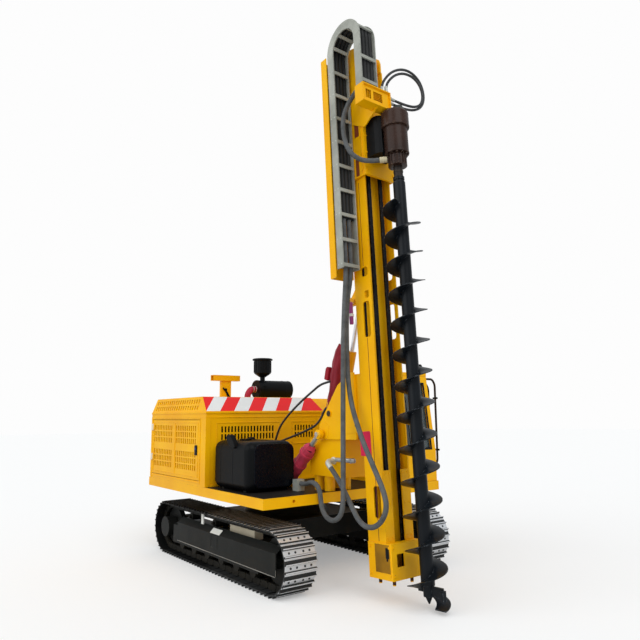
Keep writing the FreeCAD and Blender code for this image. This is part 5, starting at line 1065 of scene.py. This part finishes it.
def sleeve(name, body, foot, head, y, start, end, profile, finish, seed):
    """A cloth sleeve round a barrel; profile gives its radius along the way from start to end."""
    foot, head = Vector((foot[0], y, foot[1])), Vector((head[0], y, head[1]))
    way = (head - foot).normalized()
    side = Vector((0, 1, 0))
    across = way.cross(side)
    mesh = bmesh.new()
    steps, sides = 44, 48
    rings = []
    for i in range(steps + 1):
        share = i / steps
        place = share * (len(profile) - 1)
        k = min(int(place), len(profile) - 2)
        radius = profile[k] + (profile[k + 1] - profile[k]) * (place - k)
        ring = []
        for j in range(sides):
            turn = 2 * math.pi * j / sides
            fold = 0.0022 * math.sin(5 * turn + 9 * share + seed) \
                + 0.0018 * math.sin(3 * turn - 21 * share + 2 * seed) \
                + 0.0014 * math.sin(37 * share + 2 * turn + seed)
            seam = 0.01 * math.exp(-((turn - math.pi * 1.05) / 0.14) ** 2)
            r = radius + fold + seam
            ring.append(mesh.verts.new(foot + way * (start + share * (end - start))
                                       + r * (math.cos(turn) * side + math.sin(turn) * across)))
        rings.append(ring)
    for one, two in zip(rings, rings[1:]):
        for j in range(sides):
            k = (j + 1) % sides
            mesh.faces.new((one[j], one[k], two[k], two[j]))
    bmesh.ops.recalc_face_normals(mesh, faces=mesh.faces)
    area = sum(f.calc_area() for f in mesh.faces)
    made = piece(name, mesh, finish, body, slot="sleeve_cloth")
    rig.sheet(made, flat=(area / (end - start), end - start), held="stretched",
             rests_on=[body])


red_duck = duck_cloth("red_waxed_duck", "#D23A55", "#A82440")
wine_duck = duck_cloth("wine_waxed_duck", "#A01F33", "#7A1526")
for i, (side, y) in enumerate(tilt_sides.items()):
    sleeve("tilt_sleeve_" + side, "tilt_barrels", tilt_foot, tilt_eye, y, 0.055, 0.605,
           (0.0645, 0.066, 0.069, 0.073, 0.074, 0.07, 0.067, 0.071, 0.069, 0.066, 0.034),
           red_duck, i)
slide_foot, slide_head = (1.15, 1.6), (1.5156, 2.8348)
sleeve("slide_sleeve_right", "slide_barrels", slide_foot, slide_head, -0.306, 0.12, 0.83,
       (0.0525, 0.053, 0.054, 0.056, 0.059, 0.063, 0.066, 0.066, 0.062, 0.057, 0.034),
       wine_duck, 2)
sleeve("slide_sleeve_left", "slide_barrels", slide_foot, slide_head, -0.154, 0.12, 0.42,
       (0.0525, 0.053, 0.054, 0.056, 0.057, 0.0525), wine_duck, 3)
knots = bmesh.new()
base = Vector((tilt_foot[0], tilt_sides["right"], tilt_foot[1]))
way = (Vector((tilt_eye[0], tilt_sides["right"], tilt_eye[1])) - base).normalized()
for along, width in ((0.3, 0.018), (0.47, 0.016)):
    turn = Vector((0, 0, 1)).rotation_difference(way).to_matrix().to_4x4()
    for v in bead(knots, 0.0775, 0.08, -width, width, width / 2):
        v.co = Matrix.Translation(base + way * along) @ turn @ v.co
piece("sleeve_straps", knots, red_duck, "tilt_barrels", slot="sleeve_cloth")

eyes = bmesh.new()
for y in tilt_sides.values():
    lathe(eyes, [(0.018, y - 0.024), (0.0465, y - 0.024), (0.0475, y - 0.0225),
                 (0.0475, y + 0.0225), (0.0465, y + 0.024), (0.018, y + 0.024)],
          (tilt_eye[0], 0, tilt_eye[1]), "y", 36)
piece("tilt_eye_bosses", eyes, yellow_enamel, "tilt_rods")
# Port cover: a red-painted cast cap where the thin hose enters the slide cylinder.
red_cap = painted("red_painted_cap", "#A01C2C", "#7E1422", "#C0606C", 0.35, wear=0.5)
cap = bmesh.new()
prism(cap, [(1.18, 2.04), (1.236, 2.022), (1.262, 2.12), (1.258, 2.158), (1.232, 2.17),
            (1.208, 2.15)], "y", -0.392, -0.335)
piece("slide_port_cover", cap, red_cap, "slide_barrels", edge=0.008, steps=3, slot="sleeve_cloth")

# ---- breather: corrugated steel conduit from the port to a clip on the mast support ----
# Galvanised strip wound into ribs.
conduit_steel = painted("corrugated_conduit_steel", "#B9BCBC", "#8E9190", "#5E605E", 0.35,
                        metal=0.6, wear=0.6)
conduit = bmesh.new()
ribs = []
for k in range(24):
    along = 1.412 + 0.012 * k
    ribs += [(0.0165, along), (0.0205, along + 0.003), (0.0205, along + 0.006),
             (0.0165, along + 0.009)]
lathe(conduit, [(0, 1.405)] + ribs + [(0, 1.703)], (0, -0.428, 1.228), "x", 24)
block(conduit, (1.655, -0.452, 1.205), (1.667, -0.399, 1.252))
piece("breather_conduit", conduit, conduit_steel, slot="carrier_steel")

# ---- mast: welded box with a front channel, cover plates, chains, wear strips and a foot ----
# Primer shows reddish brown where the carriage has rubbed the enamel off. The spikes of the foot
# are bare and rusty, the chains are oiled.
right_wall, front_wall, foot_wall = -0.1755, 0.235, -0.1855
brown_primer = painted("rubbed_brown_primer", "#8C4526", "#6E3620", "#A5714A", 0.42, wear=0.6)
rusty_steel = painted("rusted_steel", "#5A3420", "#3A2619", "#8A6A50", 0.7, wear=0.7)
chain_steel = painted("oiled_chain_steel", "#24252A", "#15161A", "#6A6C72", 0.35, metal=0.7,
                      wear=0.9)
dress(chain_steel, "feed_chains")
chain_pitch = 0.0508
links = bmesh.new()
for side in (-1, 1):
    for k in range(98):
        w = 0.262 + chain_pitch * k
        gap = 0.0125 if k % 2 else 0.0175
        for across in (-gap, gap):
            v = side * 0.079 + across
            prism(links, [(0.176, w - 0.018), (0.183, w - 0.029), (0.195, w - 0.029),
                          (0.2025, w - 0.018), (0.199, w), (0.2025, w + 0.018),
                          (0.195, w + 0.029), (0.183, w + 0.029), (0.176, w + 0.018),
                          (0.18, w)], "y", v - 0.002, v + 0.002)
        lathe(links, [(0, -0.0205), (0.006, -0.0205), (0.006, 0.0205), (0, 0.0205)],
              (0.19, side * 0.079, w + chain_pitch / 2), "y", 8)
piece("chain_links", links, chain_steel, "mast")

plates = bmesh.new()
for v0, v1 in ((-0.172, -0.07), (0.07, 0.172)):
    frame_ring(plates, "x", front_wall, 0.001, (v0, 0.525), (v1, 1.148), 0.012)
block(plates, (0.145, right_wall - 0.004, 0.64), (0.205, right_wall, 0.69))
piece("mast_cover_beads", plates, yellow_enamel, "mast", edge=0.002)
seams = bmesh.new()
for low, high in ((0.53, 1.16), (1.165, 2.395), (3.12, 4.0)):
    block(seams, (0.141, right_wall - 0.002, low), (0.147, right_wall - 0.0003, high))
piece("mast_side_seams", seams, brown_primer, "mast", slot="yellow_paint")
# Painted shade: nearly black plates inside the mast's channel, where shade falls.
dark = bmesh.new()
for low, high in ((0.735, 1.0), (2.415, 2.75), (3.02, 3.097)):
    block(dark, (0.112, -0.164, low), (0.14, -0.1625, high))
piece("mast_dark_inside", dark, painted_shade_black, "mast")
bolts = bmesh.new()
bolt_heads(bolts, [(0.2352, v, w) for v in (-0.15, -0.09, 0.09, 0.15)
                   for w in (0.56, 0.85, 1.12)], "x", 1, 0.008, 0.007)
bolt_heads(bolts, [(u, -0.1862, w) for u in (0.03, 0.28) for w in (0.25, 0.485)], "y", -1,
           0.01, 0.008)
bolt_heads(bolts, [(0.3102, v, w) for v in (-0.165, 0.165) for w in (0.25, 0.485)], "x", 1,
           0.01, 0.008)
piece("mast_bolts", bolts, yellow_enamel, "mast")
latch = bmesh.new()
block(latch, (0.234, foot_wall - 0.007, 0.394), (0.274, foot_wall, 0.484))
block(latch, (0.246, foot_wall - 0.0105, 0.372), (0.258, foot_wall, 0.44))
piece("foot_latch", latch, black_plastic, "mast", edge=0.002)
pocket = bmesh.new()
frame_ring(pocket, "y", foot_wall, -0.0035, (0.085, 0.262), (0.29, 0.515), 0.006)
piece("foot_pocket_rim", pocket, yellow_enamel, "mast", edge=0.001)
# Pocket floor: the enamel inside the foot's pocket rim is mixed towards near black, most of all low down.
darkened_enamel = painted("darkened_yellow_enamel", "#D79A12", "#8A6216", "#3A2A14", 0.5, wear=0.8,
                       dust=1.0, dust_tone="#2A2014")
darkened_floor = bmesh.new()
block(darkened_floor, (0.091, foot_wall - 0.0011, 0.268), (0.284, foot_wall, 0.509))
piece("foot_pocket_floor", darkened_floor, darkened_enamel, "mast", slot="yellow_paint")
tips = bmesh.new()
for u, v in ((0.06, -0.11), (0.24, -0.11), (0.06, 0.11), (0.24, 0.11)):
    lathe(tips, [(0, 0.1555), (0.01, 0.1555), (0.0155, 0.164), (0.0158, 0.205), (0.022, 0.2085)],
          (u, v, 0), "z", 16)
piece("foot_spike_tips", tips, rusty_steel, "mast", slot="shoe_steel")
# Flag: a pink-red polyurethane plate on the mast's side.
flag_plastic = painted("pink_polyurethane", "#E62E56", "#D0264C", "#E2708A", 0.45, wear=0.3)
flag = bmesh.new()
prism(flag, [(-0.04, 1.285), (0.1, 1.275), (0.112, 1.29), (0.108, 1.5), (0.096, 1.512),
             (-0.036, 1.508), (-0.044, 1.495)], "y", right_wall - 0.0035, right_wall - 0.0007)
piece("side_flag", flag, flag_plastic, "mast", edge=0.002, slot="sleeve_cloth")
# Painted shade: black discs in the flag's holes.
eyes = bmesh.new()
for u, w in ((0.045, 1.39), (0.062, 1.306)):
    lathe(eyes, [(0, -0.1796), (0.009, -0.1796), (0.009, -0.1786)], (u, 0, w), "y", 20)
piece("side_flag_holes_painted_shade", eyes, painted_shade_black, "mast")
# Marker: a short magenta tube in a white clip.
marker_at = (-0.045, -0.205, 0)
tube = bmesh.new()
lathe(tube, [(0, 2.56), (0.019, 2.562), (0.021, 2.58), (0.021, 2.77), (0.019, 2.785),
             (0, 2.787)], marker_at, "z", 24)
magenta_hose = painted("magenta_silicone", "#A04A84", "#863A70", "#C890B4", 0.4, wear=0.3)
piece("marker_tube", tube, magenta_hose, "mast", slot="red_hose")
band = bmesh.new()
bead(band, 0.02, 0.0225, 2.64, 2.67, 0.002, marker_at, steps=24)
block(band, (-0.052, -0.2, 2.64), (-0.038, -0.174, 2.668))
block(band, (-0.052, -0.2, 2.74), (-0.038, -0.174, 2.752))
piece("marker_tube_clip", band, white_enamel, "mast", edge=0.001, slot="carrier_steel")

# ---- hose carrier: galvanised side bands and rungs round a bundle of black rubber hoses ----
# Galvanised strip: pale grey, blotchy, with fine grime streaks that run down it.
galvanised = painted("galvanised_strip", "#BDBFB6", "#85887F", "#4A4C46", 0.5, metal=0.15,
                     wear=0.9)
bundle_rubber = painted("black_hose_rubber", "#1D1E1F", "#3A3B3B", "#6A6B6A", 0.5, wear=0.4)
dress(galvanised, "hose_carrier_fixed", "hose_carrier_moving")
dress(bundle_rubber, "carrier_hoses", "carrier_hoses_moving")
rivets = bmesh.new()
for w in [3.12 + 0.26 * k for k in range(9)]:
    for u in (0.052, 0.1):
        lathe(rivets, [(0, -0.4178), (0.007, -0.4178), (0.009, -0.416), (0.009, -0.414)],
              (u, 0, w), "y", 12)
piece("carrier_rivets", rivets, zinc_plate, "mast")

# ---- bracket box: folded yellow sheet with two louvred openings and hose unions on top ----
# The slats are pressed from the same sheet; the unions are zinc-plated and left bare.
# Painted shade: a black sheet behind the slats, where shade falls in the opening.
vents = bmesh.new()
block(vents, (0.494, -0.372, 4.69), (0.4965, -0.12, 4.815))
piece("bracket_vent_painted_shade", vents, painted_shade_black, "carriage")
slats = bmesh.new()
for k in range(5):
    w = 4.716 + 0.019 * k
    prism(slats, [(0.5, w), (0.527, w - 0.006), (0.527, w - 0.003), (0.5, w + 0.003)], "y",
          -0.265, -0.145)
for v in (-0.352, -0.33, -0.308):
    block(slats, (0.502, v - 0.002, 4.705), (0.524, v + 0.002, 4.8))
piece("bracket_vent_slats", slats, yellow_enamel, "carriage")
rim = bmesh.new()
frame_ring(rim, "x", 0.545, 0.006, (-0.415, 4.655), (-0.04, 4.85), 0.012)
piece("bracket_rim", rim, yellow_enamel, "carriage", edge=0.002)
unions = bmesh.new()
for u, v in ((0.49, -0.1), (0.515, -0.065)):
    lathe(unions, [(0.0135, 4.8505), (0.022, 4.8505), (0.022, 4.872), (0.0165, 4.876),
                   (0.0165, 4.925), (0.0135, 4.93)], (u, v, 0), "z", 12)
for u, w in ((0.5, 4.77), (0.525, 4.8)):
    lathe(unions, [(0.0135, -0.0395), (0.022, -0.0395), (0.022, -0.02), (0.0165, -0.016),
                   (0.0165, 0.03), (0.0135, 0.034)], (u, 0, w), "y", 12)
piece("hose_unions", unions, zinc_plate, "carriage", edge=0.001)

# ---- carriage cheek: rubbed strips and the row of bolts that hold its sliding pads ----
# Sideways play rubs the enamel down to its brown primer where the cheek meets the mast.
cheek = bmesh.new()
block(cheek, (0.152, -0.2005, 4.485), (0.214, -0.1965, 4.795))
block(cheek, (0.146, -0.2005, 4.05), (0.194, -0.1965, 4.283))
piece("cheek_wear_strips", cheek, brown_primer, "carriage", edge=0.0014, slot="head_paint")
edges = bmesh.new()
block(edges, (0.246, -0.203, 4.05), (0.256, -0.196, 4.9))
block(edges, (-0.036, -0.2015, 4.041), (0.256, -0.196, 4.056))
piece("cheek_edge_beads", edges, yellow_enamel, "carriage", edge=0.002)
studs = bmesh.new()
rows = [4.1 + 0.18 * k for k in range(5)]
bolt_heads(studs, [(u, -0.1972, w) for u in (0.03, 0.235) for w in rows], "y", -1, 0.01, 0.009)
bolt_heads(studs, [(0.2882, v, w) for v in (-0.175, 0.175) for w in rows], "x", 1, 0.01, 0.009)
piece("carriage_bolts", studs, yellow_enamel, "carriage")

# ---- drilling head: brown cast-iron gearbox with a cap, a splined collar and a black motor ----
# Cast iron under oily brown paint: glossy on the cap, streaked lower down.
brown_casting = painted("oily_brown_casting", "#3E2A22", "#2A1C17", "#A08672", 0.24, wear=0.6,
                        slot="head_paint")
black_casting_and_painted_shade = painted("oily_cast_black_and_painted_shade", "#090A0C", "#121416", "#4A4A48", 0.36, wear=0.6,
                        shine=0.1)
dress(brown_casting, "gearbox")
# Painted shade: the gearbox mount is painted black where the bracket box shades the head.
dress(black_casting_and_painted_shade, "gearbox_mount")
# Motor: grey-green paint, worn at its edges.
motor_paint = painted("grey_green_motor_paint", "#454A46", "#353A38", "#7A7C78", 0.4, wear=0.6)
dress(motor_paint, "drive_motor")
head_place = mast_place @ Matrix.Translation((0.54, 0, 0))
rings = bmesh.new()
for inner, outer, start, end in ((0.1385, 0.1415, 4.47, 4.486), (0.119, 0.1225, 4.186, 4.206),
                                 (0.1385, 0.1405, 4.6, 4.61)):
    bead(rings, inner, outer, start, end, 0.002, steps=64)
for k in range(12):
    turn = 2 * math.pi * (k + 0.5) / 12
    for reach, seat, rim, top in ((0.104, 4.1855, 4.174, 4.173), (0.112, 4.634, 4.645, 4.646)):
        lathe(rings, [(0.011, seat), (0.011, rim), (0, top)],
              (reach * math.cos(turn), reach * math.sin(turn), 0), steps=6)
piece("gearbox_rings_and_bolts", rings, brown_casting, "carriage", place=head_place)
collar = bmesh.new()
for k in range(16):
    for v in block(collar, (0.0845, -0.009, 4.066), (0.0925, 0.009, 4.176)):
        v.co = Matrix.Rotation(2 * math.pi * k / 16, 4, "Z") @ v.co
lathe(collar, [(0.086, 4.0595), (0.0935, 4.061), (0.0935, 4.068), (0.086, 4.07)], steps=64)
piece("collar_splines", collar, brown_casting, "carriage", edge=0.002, place=head_place)
# Ferrule: cream-painted crimp with two pressed grooves.
cream_enamel = painted("cream_enamel", "#D9D0B4", "#C4B996", "#8E8468", 0.45, wear=0.6)
ferrule = bmesh.new()
lathe(ferrule, [(0.0265, 0.0), (0.03, 0.002), (0.031, 0.02), (0.029, 0.024), (0.031, 0.028),
                (0.031, 0.046), (0.029, 0.05), (0.031, 0.054), (0.03, 0.075),
                (0.0265, 0.077)], axis="x", steps=28)
piece("hose_ferrule", ferrule, cream_enamel, "carriage",
      place=mast_place @ Matrix.Translation((0.4165, -0.1235, 4.15))
      @ Matrix.Rotation(math.radians(45), 4, "Z"), slot="head_paint")

# ---- auger: flight strip wound on a tube and welded on edge, sprayed blue-black ----
# Enamel over steel: deep blue-black with soft gloss, bare and pale at the flight's rim.
auger_black = painted("blue_black_enamel", "#0E1216", "#161C22", "#7C8288", 0.3, wear=0.9)
dress(auger_black, "auger")
# Shaft: machined steel, brown with old oil.
shaft_steel = painted("oily_machined_steel", "#3A3431", "#2A2523", "#7A706A", 0.35, metal=0.4,
                      wear=0.6)
dress(shaft_steel, "drive_shaft")
shaft = bmesh.new()
bead(shaft, 0.0455, 0.049, 3.995, 4.013, 0.002)
bead(shaft, 0.0455, 0.052, 3.94, 3.952, 0.002)
piece("shaft_collars", shaft, greased_steel, "auger", place=head_place)
dress(black_casting_and_painted_shade, "engine_block")

json.dump({"cad": [list(p) for p in cad_box], "scene": [list(p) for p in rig.bounds()]},
          open("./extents.json", "w"))
